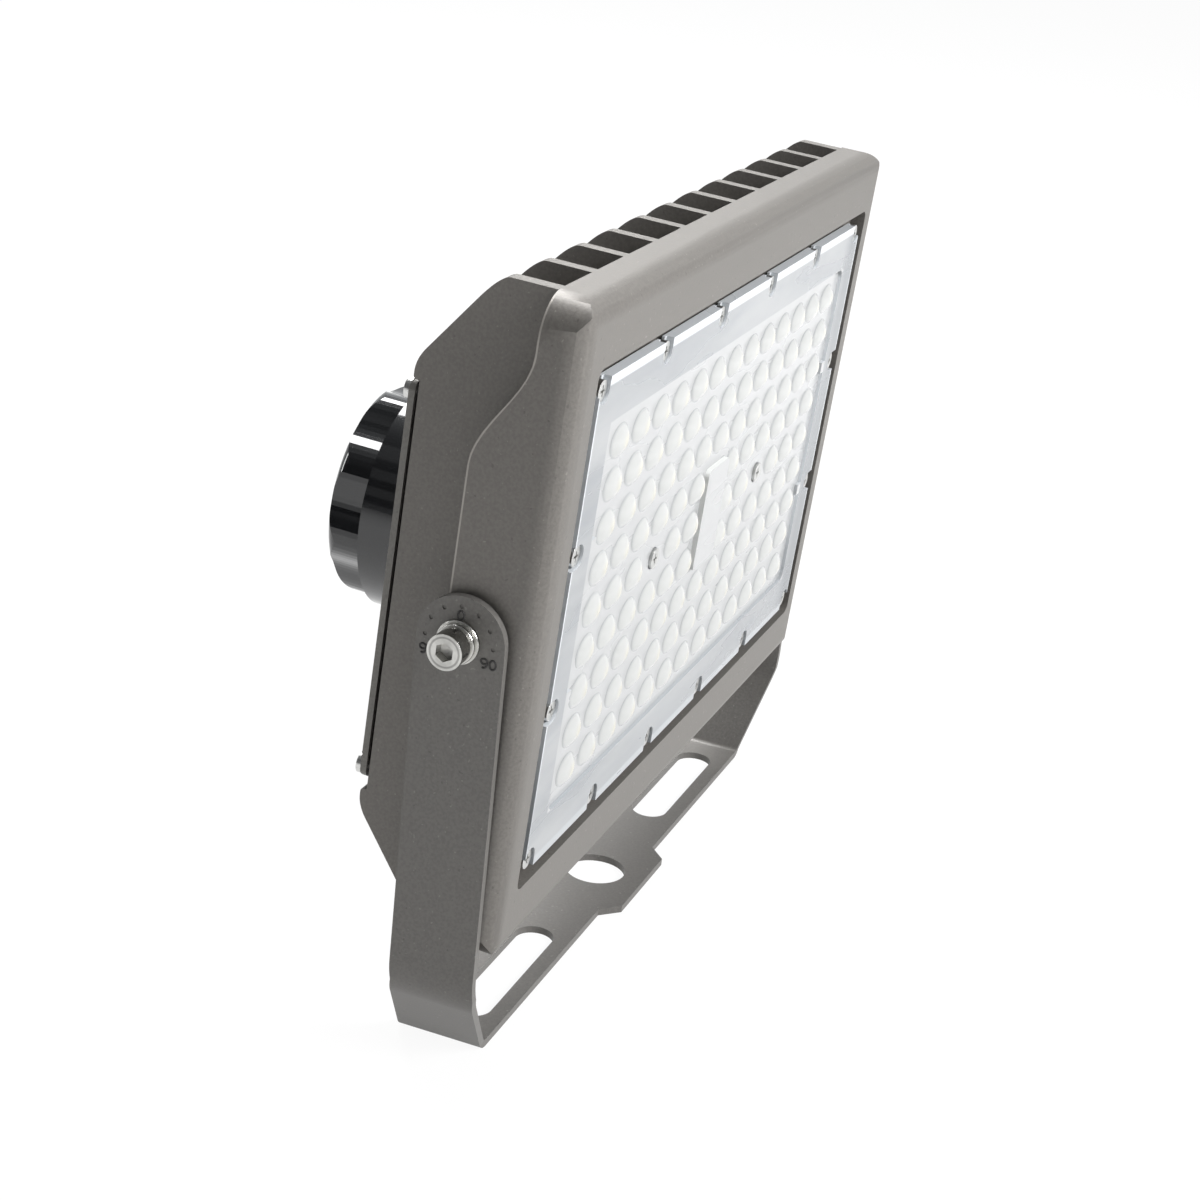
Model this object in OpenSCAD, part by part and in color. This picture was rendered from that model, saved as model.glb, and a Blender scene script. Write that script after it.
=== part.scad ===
// LED flood light: a finned cast head that tilts in a sheet metal bracket,
// with a twist-lock control cap on its back.
// Sizes are in millimetres. The origin is the centre of the foot's round hole, on the foot's underside.
// X runs along the foot, Y from the front of the light to its back, Z up.
// Pieces of the head are drawn in the head's own frame: y = 0 is the bezel's front face,
// x = 0 and z = 0 are the middle of the bezel. in_head() puts them in place.

/* [Head] */
// Width of the bezel
head_w = 357; // [350:1:370]
// Height of the bezel
head_h = 245; // [240:1:255]
// Depth of the bezel block, from its front face to the back of the base plate
bezel_d = 17; // [16:0.5:19]
// Radius of the bezel's front edge
bezel_round = 9; // [4:0.5:12]
// Radius of the bezel's corners, seen from the front
bezel_corner_r = 15; // [10:0.5:18]
// Bezel width at the left and right of the opening
margin_side = 16; // [15.5:0.5:18]
// Bezel width above and below the opening
margin_top = 24.5; // [23.5:0.5:26]
// Depth of the ledge that the lens seal lies on
ledge_d = 6.3; // [6.1:0.1:7]
// Thickness of the base plate behind the circuit board
base_plate_t = 6.5; // [5:0.5:7.5]
// Depth of the head from its front face to the fins' rear edge
body_d = 63.9; // [61:0.1:68]
// How far the cover's seat lies before the fins' rear edge
seat_in = 2.4; // [1.5:0.1:3]
// Height of the middle of the fins' rear edge above the bezel's middle
rear_up = 2; // [0:0.1:3]

/* [Fins] */
// Number of fins between the end plates
fin_count = 10; // [10]
// Thickness of a fin
fin_t = 5.3; // [4:0.1:7]
// Thickness of an end plate
end_plate_t = 6; // [5:0.5:7]
// Distance of an end plate's outer face from the bezel's side
end_plate_in = 13.2; // [12:0.1:14.5]
// Depth at which the fins' top edge starts to round off
fin_top_run = 34; // [30:0.5:36]
// Depth at which the fins' slanted edge starts
slant_start_d = 44.8; // [42:0.1:48]
// Distance of the slanted edge's start from the rear edge's middle
slant_top_z = 110.3; // [107:0.1:113]
// Distance of the slanted edge's end from the rear edge's middle
slant_low_z = 84.7; // [82:0.1:88]
// Depth over which the slanted edge rounds off into the rear edge
shoulder_run = 3.4; // [2:0.1:5]
// Half height of the recess that holds the cover
recess_z = 77.6; // [76:0.1:79]

/* [Shoulder pads] */
// Depth of the pads beside the pivots
pad_d = 35; // [34:0.5:40]
// Half height of the pads where they are deepest
pad_wide_z = 60; // [50:1:70]
// Half height at which the pads meet the bezel
pad_narrow_z = 103; // [95:1:108]

/* [Driver bay] */
// Depth of the front of the driver bay's floor
bay_front_d = 34; // [33:0.5:36]
// Thickness of the bay's floor
bay_floor_t = 3; // [2.5:0.5:4]
// Width of the rim round the bay, under the cover's edge
bay_rim = 9.9; // [9.6:0.1:11]
// Thickness of the cover
cover_t = 2.4; // [1.6:0.1:3]
// Thickness of the seal under the cover
cover_seal_t = 1.2; // [0.8:0.1:1.5]
// Gap between the recess and the cover's upper edge
cover_gap_top = 0.5; // [0.3:0.1:1]
// Gap between the recess and the cover's lower edge
cover_gap_low = 3.7; // [2:0.1:4.5]

/* [Lens] */
// Gap between the lens panel and the sides of the opening
lens_gap = 4.9; // [4:0.1:6]
// Thickness of the lens panel's edge
lens_t = 4; // [3.5:0.1:4.1]
// How far the lens panel's front lies behind the bezel's front
lens_set_back = 0.3; // [0.2:0.1:0.6]
// Corner radius of the lens panel
lens_corner_r = 7; // [4:0.5:10]
// Width of the lens panel's flange at the left and right of the sunk field
flange_side = 15.6; // [15:0.1:17]
// Width of the flange above and below the sunk field
flange_top = 18.1; // [17:0.1:20]
// Depth of the sunk field
field_d = 1.5; // [1:0.1:1.8]
// Lenslets in a row
lenslet_cols = 13; // [13]
// Rows of lenslets
lenslet_rows = 9; // [9]
// Radius of a lenslet at its foot
lenslet_r = 6.2; // [5:0.1:7.3]
// Height of a lenslet
lenslet_h = 2.8; // [2:0.1:4]
// Width of the raised boss in the middle of the lens panel
boss_w = 25; // [22:0.5:26]
// Height of the raised boss
boss_h = 43; // [38:0.5:44]
// How far the boss stands out of the field
boss_rise = 2; // [1.8:0.1:4]

/* [Screws] */
// Shaft radius of the lens, cover and socket screws
screw_r = 2; // [1.5:0.1:2.1]
// Head radius of those screws
screw_head_r = 3.9; // [3.4:0.1:4.1]
// Head height of those screws
screw_head_h = 2; // [1.6:0.1:2.1]
// Length of a lens or cover screw's shaft
screw_l = 9; // [8:0.5:10]
// Distance of the lens screws from the lens panel's edge
lens_screw_inset = 4.4; // [4.2:0.1:4.8]
// Height of the two lens screws at each side, from the middle
lens_screw_side_z = 29.3; // [25:0.1:34]

/* [Bracket] */
// Thickness of the bracket's sheet
sheet_t = 3; // [2.5:0.1:3.5]
// Width of an arm
arm_w = 32.8; // [30:0.1:34]
// How far an arm's middle lies in front of the pivot
arm_front = 0.5; // [0:0.1:1]
// Gap between head and arm, filled by the spacer disc
arm_gap = 1.5; // [1:0.1:3]
// Height of the pivots above the underside of the foot
pivot_h = 175; // [172:1:190]
// How far the pivots lie in front of the foot's round hole
pivot_front = 4; // [2:0.5:6]
// Height at which the arms turn inwards
flank_h = 38; // [30:0.5:42]
// How far the lower corners are cut in
flank_in = 32; // [28:0.5:38]
// Outer bend radius between arm and flank
arm_bend_r = 26; // [10:1:30]
// Outer bend radius between flank and foot
bend_r = 7; // [5:0.5:9]
// Depth of the foot in front of its round hole
foot_front = 14.5; // [14:0.5:18]
// Depth of the foot behind its round hole
foot_back = 19.5; // [16:0.5:21]
// Radius of the foot's round hole
foot_hole_r = 13; // [10:0.5:14]
// Length of a slot, end to end
slot_l = 77; // [60:1:80]
// Width of a slot
slot_w = 16; // [12:0.5:17]
// Distance of a slot's outer end from the flank
slot_end_gap = 14.5; // [13:0.5:17]
// How far the front tab stands out
tab_out = 7.5; // [5:0.5:9]
// Half width of the front tab at its root
tab_root_x = 32.4; // [28:0.1:36]
// Half width of the front tab at its tip
tab_tip_x = 24.5; // [20:0.1:27]

/* [Pivot] */
// Depth of the pivot axis behind the bezel's front face
pivot_d = 27.3; // [26:0.1:30]
// Forward lean of the head as it stands, in degrees
rest_tilt = 3; // [0:0.5:10]
// Radius of the pivot bolts
bolt_r = 4; // [3.5:0.1:4.2]
// Length of a pivot bolt's shaft
bolt_l = 25; // [20:1:27]
// Radius of the pivot bolt's head
bolt_head_r = 6.5; // [6:0.1:7]
// Height of the pivot bolt's head
bolt_head_h = 8; // [6:0.5:9]
// Radius of the flat washer
flat_washer_r = 8; // [7.4:0.1:8.4]
// Thickness of the flat washer
flat_washer_t = 1.6; // [1.2:0.1:2]
// Outer radius of the spring washer
spring_washer_r = 7.2; // [6.5:0.1:7.3]
// Thickness of the spring washer
spring_washer_t = 2.1; // [1.8:0.1:2.4]
// Radius of the spacer disc
spacer_r = 12; // [10:0.5:14]
// Radius of the circle of tilt marks round the pivot
dial_r = 12.6; // [12:0.1:13]

/* [Control socket and cap] */
// Middle of the socket, left of the head's middle
socket_x = 70; // [64:0.5:76]
// Radius of the socket's collar
collar_r = 44; // [42:0.5:46]
// Height of the collar, with its seal
collar_h = 35.5; // [33:0.5:38]
// Wall of the collar
collar_wall = 3; // [2.5:0.1:4]
// Thickness of the seal under the collar
socket_seal_t = 1.5; // [1:0.1:2]
// Radius of the socket's core, which passes through the cover
core_r = 26; // [24:0.5:28]
// Mean radius of the cap
cap_r = 39.6; // [38:0.1:40.5]
// Depth of the cap's hand grips
cap_grip = 1.8; // [0.8:0.1:2.2]
// Number of hand grips
cap_grips = 8; // [6:1:10]
// Height of the cap
cap_h = 15.5; // [14:0.5:20]
// Radius of the cap's rear edge
cap_round = 5; // [3:0.5:6]
// Wall of the cap
cap_wall = 2.5; // [2:0.1:3]
// Radius of the circle of contact blades
blade_circle_r = 12; // [11:0.1:14]

/* [Cable entry] */
// Middle of the gland, right of the head's middle
gland_x = 100; // [96:0.5:106]
// Height of the gland above the head's middle, negative is below
gland_z = -45; // [-45.5:0.5:-44]
// Radius of the gland's thread
gland_r = 10; // [9:0.1:10]
// Radius of the cable bore
cable_bore_r = 6.5; // [5:0.1:7]
// Across corners radius of the gland's hexagon
gland_hex_r = 13.8; // [13.3:0.1:14]

/* [Driver] */
// Height of the driver's case
driver_w = 56; // [50:1:58]
// Wall of the driver's case
driver_wall = 1.5; // [1:0.1:2]
// Left end of the driver's case, from the middle
driver_x = 18; // [17:0.5:20]
// Distance of the case's right end from the bay's end
driver_end_gap = 17.4; // [15:0.1:20]

/* [Hidden] */
// Facets of a round face; any number above twelve is a true curve
$fn = 48;
// Overrun of a cut past the face that it opens
cut = 1;
// Clearance between a screw and its hole
thread_gap = 0.05;
// Clearance round a piece that is set in another
set_gap = 0.3;
// Radial clearance of the arm's hole round the pivot bolt
pivot_gap = 0.06;

// Play of an arm between its spacer and its washer, on each side
arm_play = 0.03;

// Places that follow from the sizes above
opening_w = head_w - 2 * margin_side;
opening_h = head_h - 2 * margin_top;
lens_w = opening_w - 2 * lens_gap;
lens_h = opening_h - 2 * lens_gap;
lens_back = lens_set_back + lens_t;
field_y = lens_set_back + field_d;
floor_y = bezel_d - base_plate_t;
seat_y = body_d - seat_in;
bay_floor_y = bay_front_d + bay_floor_t;
bay_d = seat_y - bay_floor_y;
cover_y = seat_y + cover_seal_t;
cover_back = cover_y + cover_t;
arm_in_x = head_w / 2 + arm_gap;
arm_out_x = arm_in_x + sheet_t;
washer_in_x = arm_out_x + arm_play;
washer_x = washer_in_x + flat_washer_t;
bolt_seat_x = washer_x + spring_washer_t;
fin_top_drop = 0.5;
fin_top_z = head_h / 2 - fin_top_drop;
end_plate_x = head_w / 2 - end_plate_in;
fin_pitch = (2 * end_plate_x - end_plate_t) / (fin_count + 1);
shoulder_round = 1.4;
foot_x = arm_out_x - flank_in;
slot_x = foot_x - slot_end_gap - slot_l / 2;

// Steps along a bend or a rounded outline
bend_steps = 12;
outline_steps = 10;
// Dimples of the dial
dial_step = 30;
dial_dot_r = 0.8;
dial_dot_d = 0.4;

// Sunk field of the lens panel and the grid of its lenslets
field_x = lens_w / 2 - flange_side;
field_z = lens_h / 2 - flange_top;
field_rest_x = 11;
field_rest_z = 6;
lenslet_pitch_x = (2 * field_x - field_rest_x) / lenslet_cols;
lenslet_pitch_z = (2 * field_z - field_rest_z) / lenslet_rows;

// Lens seal and the pocket under it
seal_w = 6;
seal_out_x = field_x + 6;
seal_out_z = field_z + 8;
pocket_x = field_x - 0.5;
pocket_z = field_z + 1.5;
pocket_r = 4;

// Circuit board, its pad and its lights
pad_t = 0.5;
board_t = 1.6;
board_x = pocket_x - 2.5;
board_z = pocket_z - 2.5;
board_y = floor_y - pad_t - board_t;
chip = 5;
chip_t = 0.8;
board_screw_r = 1.5;
board_screw_head_r = 2.7;
board_screw_head_h = 1.8;
board_screw_l = 6;
board_screw_edge = 5.3;
board_screw_col = 2.5;
board_screw_mid_x = board_screw_col * lenslet_pitch_x;
board_screw_edge_z = 3.2;
connector_w = 12;
connector_l = 6.4;
connector_t = 2.8;
lead_r = 1.1;
lead_spacing = 3;
lead_z = -9;
lead_hole_r = 4;
duct_r = 8;

// Notches for the lens screws
notch_r = screw_head_r + 0.6;
notch_floor_t = 1.1;
lens_screw_seat = lens_back - notch_floor_t;
lens_screw_x = lens_w / 2 - lens_screw_inset;
lens_screw_z = lens_h / 2 - lens_screw_inset;
lens_screw_row = [-2.5, -1.5, -0.5, 0.5, 1.5, 2.5];
lens_screw_pitch = lens_screw_x / lens_screw_row[5];
centre_screw_col = 3;
centre_screw_x = centre_screw_col * lenslet_pitch_x;
centre_screw_sink = 0.9;
centre_screw_l = 12;
post_r = 5;
rib_w = 5;
rib_in = 3;
field_r = 5;
boss_wall = 3;
boss_corner_r = 3;
boss_face_t = 1.7;
drive_l = 4;
drive_w = 0.9;
drive_d = 1.1;

// Bay and cover; the top and low heights are distances from the head's middle
cover_x = end_plate_x;
cover_top_z = rear_up + recess_z - cover_gap_top;
cover_low_z = recess_z - rear_up - cover_gap_low;
bay_in_x = end_plate_x - bay_rim;
bay_top_z = cover_top_z - bay_rim;
bay_low_z = cover_low_z - bay_rim;
cover_corner_r = 4;
cover_edge_r = 2.2;
cover_seal_w = 3;
cover_screw_inset = screw_head_r + set_gap;
cover_screw_x = cover_x - cover_screw_inset;
cover_screw_mid_x = cover_screw_x / 2;

// Vent plug
vent_x = gland_x;
vent_z = -gland_z;
vent_r = 6;
vent_head_r = 9;
vent_h = 5;
vent_seal_t = 1.2;
vent_seal_r = 8.4;
vent_inside = 5;
vent_nut_r = 9.2;
vent_nut_t = 3;
vent_hole_r = 1;
vent_holes = 6;

// Gland
gland_seal_t = 1.5;
gland_body_h = 7;
gland_nut_h = 16;
gland_nut_r = 12.6;
gland_inside = 8;
locknut_r = 15.6;
locknut_t = 5;
gland_neck_r = 9.4;
gland_neck_h = 8;
gland_nut_lift = 1;
gland_nut_face_t = 2.5;
gland_seal_r = 12.4;
gland_y = cover_back + gland_seal_t;
gland_nut_y = gland_y + gland_body_h + gland_nut_lift;

// Control socket and cap, depths in the head's frame
socket_y = cover_back + socket_seal_t;
collar_end = cover_back + collar_h;
core_share = 0.6;
core_y = cover_y - core_share * bay_d;
core_wall = 6;
core_floor_t = 4;
socket_base_t = 4;
socket_face_t = 5;
socket_screw_circle_r = 33;
socket_boss_r = 5;
socket_boss_h = 6;
socket_turns = [0, 120, 240];
socket_screw_turn = 90;
blade_turn = 150;
blade_t = 1.4;
blade_span = 30;
blade_in = 14;
blade_slot_gap = 0.5;
// Play of a blade in its slot and in the cap's base, in degrees
blade_slot_turn = 2;
base_slot_turn = 0.3;
contact_t = 1.6;
contact_play = 0.1;
contact_out_r = blade_circle_r - blade_t / 2 - contact_play;
contact_h = 15;
contact_span = 24;
cap_twist = 30;
cap_gap = 0.3;
cap_y = collar_end + cap_gap;
cap_end = collar_end + cap_h;
cap_grip_steps = 16;
cap_steps = cap_grip_steps * cap_grips;
cap_turn = 15.5;
cap_base_t = 3;
cap_seal_t = 1.5;
cap_seal_w = 5;
cap_in_r = cap_r - cap_grip - cap_wall;
link_t = 1;

// Driver and its inside
driver_l = bay_in_x - driver_x - driver_end_gap;
driver_play = 3;
driver_h = bay_d - driver_play;
driver_lid_y = bay_floor_y + driver_h - driver_wall;
driver_board_t = 1.6;
driver_board_lift = 5;
driver_board_y = bay_floor_y + driver_board_lift;
driver_board_edge = 6;
driver_board_gap = 1;
driver_post_r = 2.5;
driver_room = driver_lid_y - driver_board_y - driver_board_t;
transformer_w = 30;
transformer_h = 26;
transformer_share = 0.9;
transformer_t = transformer_share * driver_room;
capacitor_r = 5;
capacitor_share = 0.94;
capacitor_t = capacitor_share * driver_room;
capacitor_pitch = 12;

// Terminal block
terminal_x = -40;
terminal_w = 40;
terminal_low_z = -58;
terminal_h = 20;
terminal_share = 0.62;
terminal_t = terminal_share * bay_d;
terminal_poles = 3;
terminal_pitch = 12;
terminal_screw_r = 2.5;
terminal_screw_d = 4;
terminal_sunk = 1.5;

// Surge protector
surge_in = 8;
surge_gap = 9;
surge_x = surge_in - bay_in_x;
surge_w = bay_in_x - surge_in - socket_x - core_r - surge_gap;
surge_h = 30;
surge_share = 0.78;
surge_t = surge_share * bay_d;

// Wires: depths of their layers and the steps of their rows
wire_r = 1.3;
wire_step = 6;
socket_wire_drop = 2;
socket_wire_y = core_y - socket_wire_drop;
socket_wire_lift = 4;
surge_wire_share = 0.44;
surge_wire_y = bay_floor_y + surge_wire_share * (socket_wire_y - bay_floor_y);
led_wire_y = surge_wire_y;
mains_wire_share = 0.45;
mains_wire_y = bay_floor_y + mains_wire_share * bay_d;
mains_wire_z = -24;
earth_wire_share = 0.54;
earth_wire_y = bay_floor_y + earth_wire_share * bay_d;
earth_x = -98;
earth_z = -52;
lug_r = 5.5;
lug_t = 1;
lug_tail = 9;
lug_tail_w = 5;
floor_boss_r = 5;
floor_boss_h = 5;
floor_screw_l = 7;
grommet_lip = 1;

// Pivot bolt's hexagon socket and spring washer's split
bolt_hex_r = 3.5;
spring_split = 1.2;

// Puts a piece that is drawn in the head's frame where the head stands
module in_head() {
    translate([0, -pivot_front, pivot_h])
        rotate([rest_tilt, 0, 0])
            translate([0, -pivot_d, 0])
                children();
}

// Rectangle with round corners, about the origin
module round_rect(w, h, r) {
    square([w - 2 * r, h], center = true);
    square([w, h - 2 * r], center = true);
    for (i = [-1, 1], k = [-1, 1])
        translate([i * (w / 2 - r), k * (h / 2 - r)])
            circle(r);
}

// Extrudes an outline drawn in X and Z from one depth to another
module from_front(y0, y1) {
    translate([0, y1, 0])
        rotate([90, 0, 0])
            linear_extrude(y1 - y0)
                children();
}

// Extrudes an outline drawn in Y and Z from one width to another
module from_side(x0, x1) {
    translate([x0, 0, 0])
        rotate([90, 0, 90])
            linear_extrude(x1 - x0)
                children();
}

// Disc or shaft along Y
module rod_y(x, z, r, y0, y1) {
    translate([x, y1, z])
        rotate([90, 0, 0])
            cylinder(h = y1 - y0, r = r);
}

// Disc or shaft along X
module rod_x(y, z, r, x0, x1) {
    translate([x0, y, z])
        rotate([0, 90, 0])
            cylinder(h = x1 - x0, r = r);
}

// Hexagon along Y
module hex_y(x, z, r, y0, y1) {
    translate([x, y1, z])
        rotate([90, 0, 0])
            cylinder(h = y1 - y0, r = r, $fn = 6);
}

// Repeats a piece at the left and the right
module both_sides() {
    children();
    mirror([1, 0, 0])
        children();
}

// Round wire through a list of points, with round elbows
module wire(points, r) {
    for (i = [0:len(points) - 2]) {
        a = points[i];
        b = points[i + 1];
        d = b - a;
        translate(a)
            rotate([0, acos(d[2] / norm(d)), atan2(d[1], d[0])])
                cylinder(h = norm(d), r = r, $fn = 20);
    }
    for (i = [1:1:len(points) - 2])
        translate(points[i])
            sphere(r, $fn = 20);
}

// Places of the lens screws round the panel, in X and Z
function lens_screw_places() = concat(
    [for (k = [-1, 1], i = lens_screw_row) [i * lens_screw_pitch, k * lens_screw_z]],
    [for (i = [-1, 1], k = [-1, 1]) [i * lens_screw_x, k * lens_screw_side_z]]);

// True where a lenslet gives way to the boss or to a screw
function is_left_out(col, row) =
    (abs(col) < 0.5 && abs(row) < 1.5) || (row == 0 && abs(abs(col) * lenslet_pitch_x - centre_screw_x) < 1);

// Places of the lenslets and of the lights behind them
function lenslet_places() = [
    for (c = [0:lenslet_cols - 1], r = [0:lenslet_rows - 1])
        let (col = c - (lenslet_cols - 1) / 2, row = r - (lenslet_rows - 1) / 2)
            if (!is_left_out(col, row)) [col * lenslet_pitch_x, row * lenslet_pitch_z]];

// Places of the cover screws
function cover_screw_places() = [
    for (z = [cover_screw_inset - cover_low_z, cover_top_z - cover_screw_inset],
        x = [-cover_screw_x, -cover_screw_mid_x, 0, cover_screw_mid_x, cover_screw_x])
        [x, z]];

// Places of the board screws
function board_screw_places() = concat(
    [for (i = [-1, 1], k = [-1, 0, 1]) [i * (board_x - board_screw_edge), k * (board_z - board_screw_edge_z)]],
    [for (i = [-1, 1], k = [-1, 1]) [i * board_screw_mid_x, k * (board_z - board_screw_edge_z)]]);

// Cross recess of a screw head, cut from the head's face at depth y into the part at positive y
module cross_recess(x, z, y) {
    for (turn = [0, 90])
        translate([x, y, z])
            rotate([0, turn, 0])
                cube([drive_l, 2 * drive_d, drive_w], center = true);
}

// Pan head screw whose head lies before the seat at y; its shaft runs to positive y
module screw_front(x, z, y, l) {
    difference() {
        union() {
            rod_y(x, z, screw_head_r, y - screw_head_h, y);
            rod_y(x, z, screw_r, y, y + l);
        }
        cross_recess(x, z, y - screw_head_h);
    }
}

// Pan head screw whose head lies behind the seat at y; its shaft runs to negative y
module screw_back(x, z, y, l) {
    difference() {
        union() {
            rod_y(x, z, screw_head_r, y, y + screw_head_h);
            rod_y(x, z, screw_r, y - l, y);
        }
        cross_recess(x, z, y + screw_head_h);
    }
}

// Arc-shaped bar round an axis along Y
module arc_y(x, z, r0, r1, y0, y1, start, span) {
    translate([x, y1, z])
        rotate([90, 0, 0])
            rotate([0, 0, start])
                rotate_extrude(angle = span)
                    translate([r0, 0])
                        square([r1 - r0, y1 - y0]);
}

// Front edge of the bezel block as seen along an edge: w across, rounded at the front
module bezel_section(w) {
    translate([-w / 2, bezel_round])
        square([w, bezel_d - bezel_round]);
    translate([bezel_round - w / 2, 0])
        square([w - 2 * bezel_round, bezel_d]);
    for (i = [-1, 1])
        translate([i * (w / 2 - bezel_round), bezel_round])
            circle(bezel_round);
}

module bezel_block() {
    intersection() {
        from_front(0, bezel_d)
            round_rect(head_w, head_h, bezel_corner_r);
        translate([0, 0, -head_h / 2])
            linear_extrude(head_h)
                bezel_section(head_w);
        translate([-head_w / 2, 0, 0])
            rotate([90, 0, 90])
                linear_extrude(head_w)
                    rotate(-90)
                        mirror([1, 0])
                            bezel_section(head_h);
    }
}

// Points along a curve from a to c that heads for b
function curve(a, b, c) = [
    for (i = [0:outline_steps])
        let (s = i / outline_steps)
            a * (1 - s) * (1 - s) + b * 2 * s * (1 - s) + c * s * s];

// Half of the fins' outline, from the front to the cover's seat; side is 1 above and -1 below the middle
function fin_edge(side) =
    let (slope = side * (slant_top_z - slant_low_z) / (body_d - slant_start_d),
        front_z = side * fin_top_z,
        start_z = rear_up + side * slant_top_z,
        end_z = rear_up + side * slant_low_z,
        recess = rear_up + side * recess_z)
    concat(
        [[bezel_round, front_z]],
        curve([fin_top_run, front_z], [slant_start_d - (front_z - start_z) / slope, front_z], [slant_start_d, start_z]),
        curve([body_d - shoulder_run, end_z + slope * shoulder_run], [body_d, end_z],
            [body_d, end_z - slope * shoulder_run]),
        curve([body_d, recess + side * shoulder_round], [body_d, recess], [body_d - shoulder_round, recess]),
        [[seat_y, recess]]);

// Outline of a fin
module fin_outline() {
    low = fin_edge(-1);
    n = len(low);
    polygon(concat(fin_edge(1), [for (i = [1:n]) low[n - i]]));
}

// Upper half of the shoulder pads' outline
function pad_edge() = concat(
    [[bezel_round, pad_narrow_z]],
    [for (i = [0:outline_steps])
        let (s = i / outline_steps)
            [bezel_d + (pad_d - bezel_d) * (1 - cos(180 * s)) / 2, pad_narrow_z - (pad_narrow_z - pad_wide_z) * s]]);

// Outline of a shoulder pad, the same above and below the middle
module pad_outline() {
    upper = pad_edge();
    n = len(upper);
    polygon(concat(upper, [for (i = [1:n]) [upper[n - i][0], -upper[n - i][1]]]));
}

// Rectangle of the bay's inside as seen from behind, grown by a margin
module bay_rect(margin) {
    translate([-bay_in_x - margin, -bay_low_z - margin])
        square([2 * (bay_in_x + margin), bay_low_z + bay_top_z + 2 * margin]);
}

// Boss behind the bay's floor that takes a screw
module floor_boss(x, z) {
    rod_y(x, z, floor_boss_r, bay_front_d - floor_boss_h, bay_front_d + bay_floor_t / 2);
}

// Blind hole for a screw in the bay's floor
module floor_hole(x, z) {
    rod_y(x, z, screw_r + thread_gap, bay_front_d - floor_boss_h + cut, bay_floor_y + cut);
}

// Places of the screws in the bay's floor
floor_screws = [[earth_x, earth_z], [driver_x - floor_boss_r, 0], [driver_x + driver_l + floor_boss_r, 0]];

// Casting: bezel, base plate, pads, fins, end plates and driver bay
module housing() color("#615f5c") in_head() {
    difference() {
        union() {
            bezel_block();
            for (i = [0:fin_count - 1]) {
                x = (i - (fin_count - 1) / 2) * fin_pitch;
                from_side(x - fin_t / 2, x + fin_t / 2)
                    fin_outline();
            }
            both_sides() {
                from_side(end_plate_x - end_plate_t, end_plate_x)
                    fin_outline();
                from_side(end_plate_x - end_plate_t / 2, head_w / 2)
                    pad_outline();
            }
            translate([-end_plate_x + end_plate_t / 2, bay_front_d, -cover_low_z])
                cube([2 * end_plate_x - end_plate_t, seat_y - bay_front_d, cover_low_z + cover_top_z]);
            rod_y(0, lead_z, duct_r, bezel_d - base_plate_t / 2, bay_front_d + bay_floor_t / 2);
            for (p = floor_screws)
                floor_boss(p[0], p[1]);
        }
        from_front(-cut, ledge_d)
            round_rect(opening_w, opening_h, pocket_r);
        from_front(-cut, floor_y)
            round_rect(2 * pocket_x, 2 * pocket_z, pocket_r);
        from_front(bay_floor_y, seat_y + cut)
            bay_rect(0);
        for (p = lens_screw_places())
            rod_y(p[0], p[1], screw_r + thread_gap, ledge_d - cut, lens_screw_seat + screw_l + cut);
        for (i = [-1, 1])
            rod_y(i * centre_screw_x, 0, screw_r + thread_gap, floor_y - cut,
                field_y + centre_screw_sink + centre_screw_l + cut);
        for (p = board_screw_places())
            rod_y(p[0], p[1], board_screw_r + thread_gap, floor_y - cut, board_y + board_screw_l + cut);
        for (p = cover_screw_places())
            rod_y(p[0], p[1], screw_r + thread_gap, cover_back - screw_l - cut, seat_y + cut);
        for (p = floor_screws)
            floor_hole(p[0], p[1]);
        rod_y(0, lead_z, lead_hole_r, floor_y - cut, bay_floor_y + cut);
        both_sides()
            rod_x(pivot_d, 0, bolt_r + thread_gap, bolt_seat_x - bolt_l - cut, head_w / 2 + cut);
    }
}

// One domed lenslet, standing out to the front of the sunk field
module lenslet(x, z) {
    ball_r = (lenslet_r * lenslet_r + lenslet_h * lenslet_h) / (2 * lenslet_h);
    intersection() {
        translate([x, field_y - lenslet_h + ball_r, z])
            rotate([90, 0, 0])
                sphere(ball_r);
        rod_y(x, z, lenslet_r + cut, field_y - lenslet_h - cut, field_y);
    }
}

// Notch in the lens panel's edge for a screw; out is the direction to the edge
module lens_notch(p, out) {
    rod_y(p[0], p[1], notch_r, lens_set_back - cut, lens_screw_seat);
    rod_y(p[0], p[1], screw_r + set_gap, lens_set_back - cut, lens_back + cut);
    translate([p[0], 0, p[1]])
        rotate([0, out, 0]) {
            translate([0, lens_set_back - cut, -notch_r])
                cube([lens_screw_inset + cut, lens_screw_seat - lens_set_back + cut, 2 * notch_r]);
            translate([0, lens_set_back, -screw_r - set_gap])
                cube([lens_screw_inset + cut, lens_t + cut, 2 * (screw_r + set_gap)]);
        }
}

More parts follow.
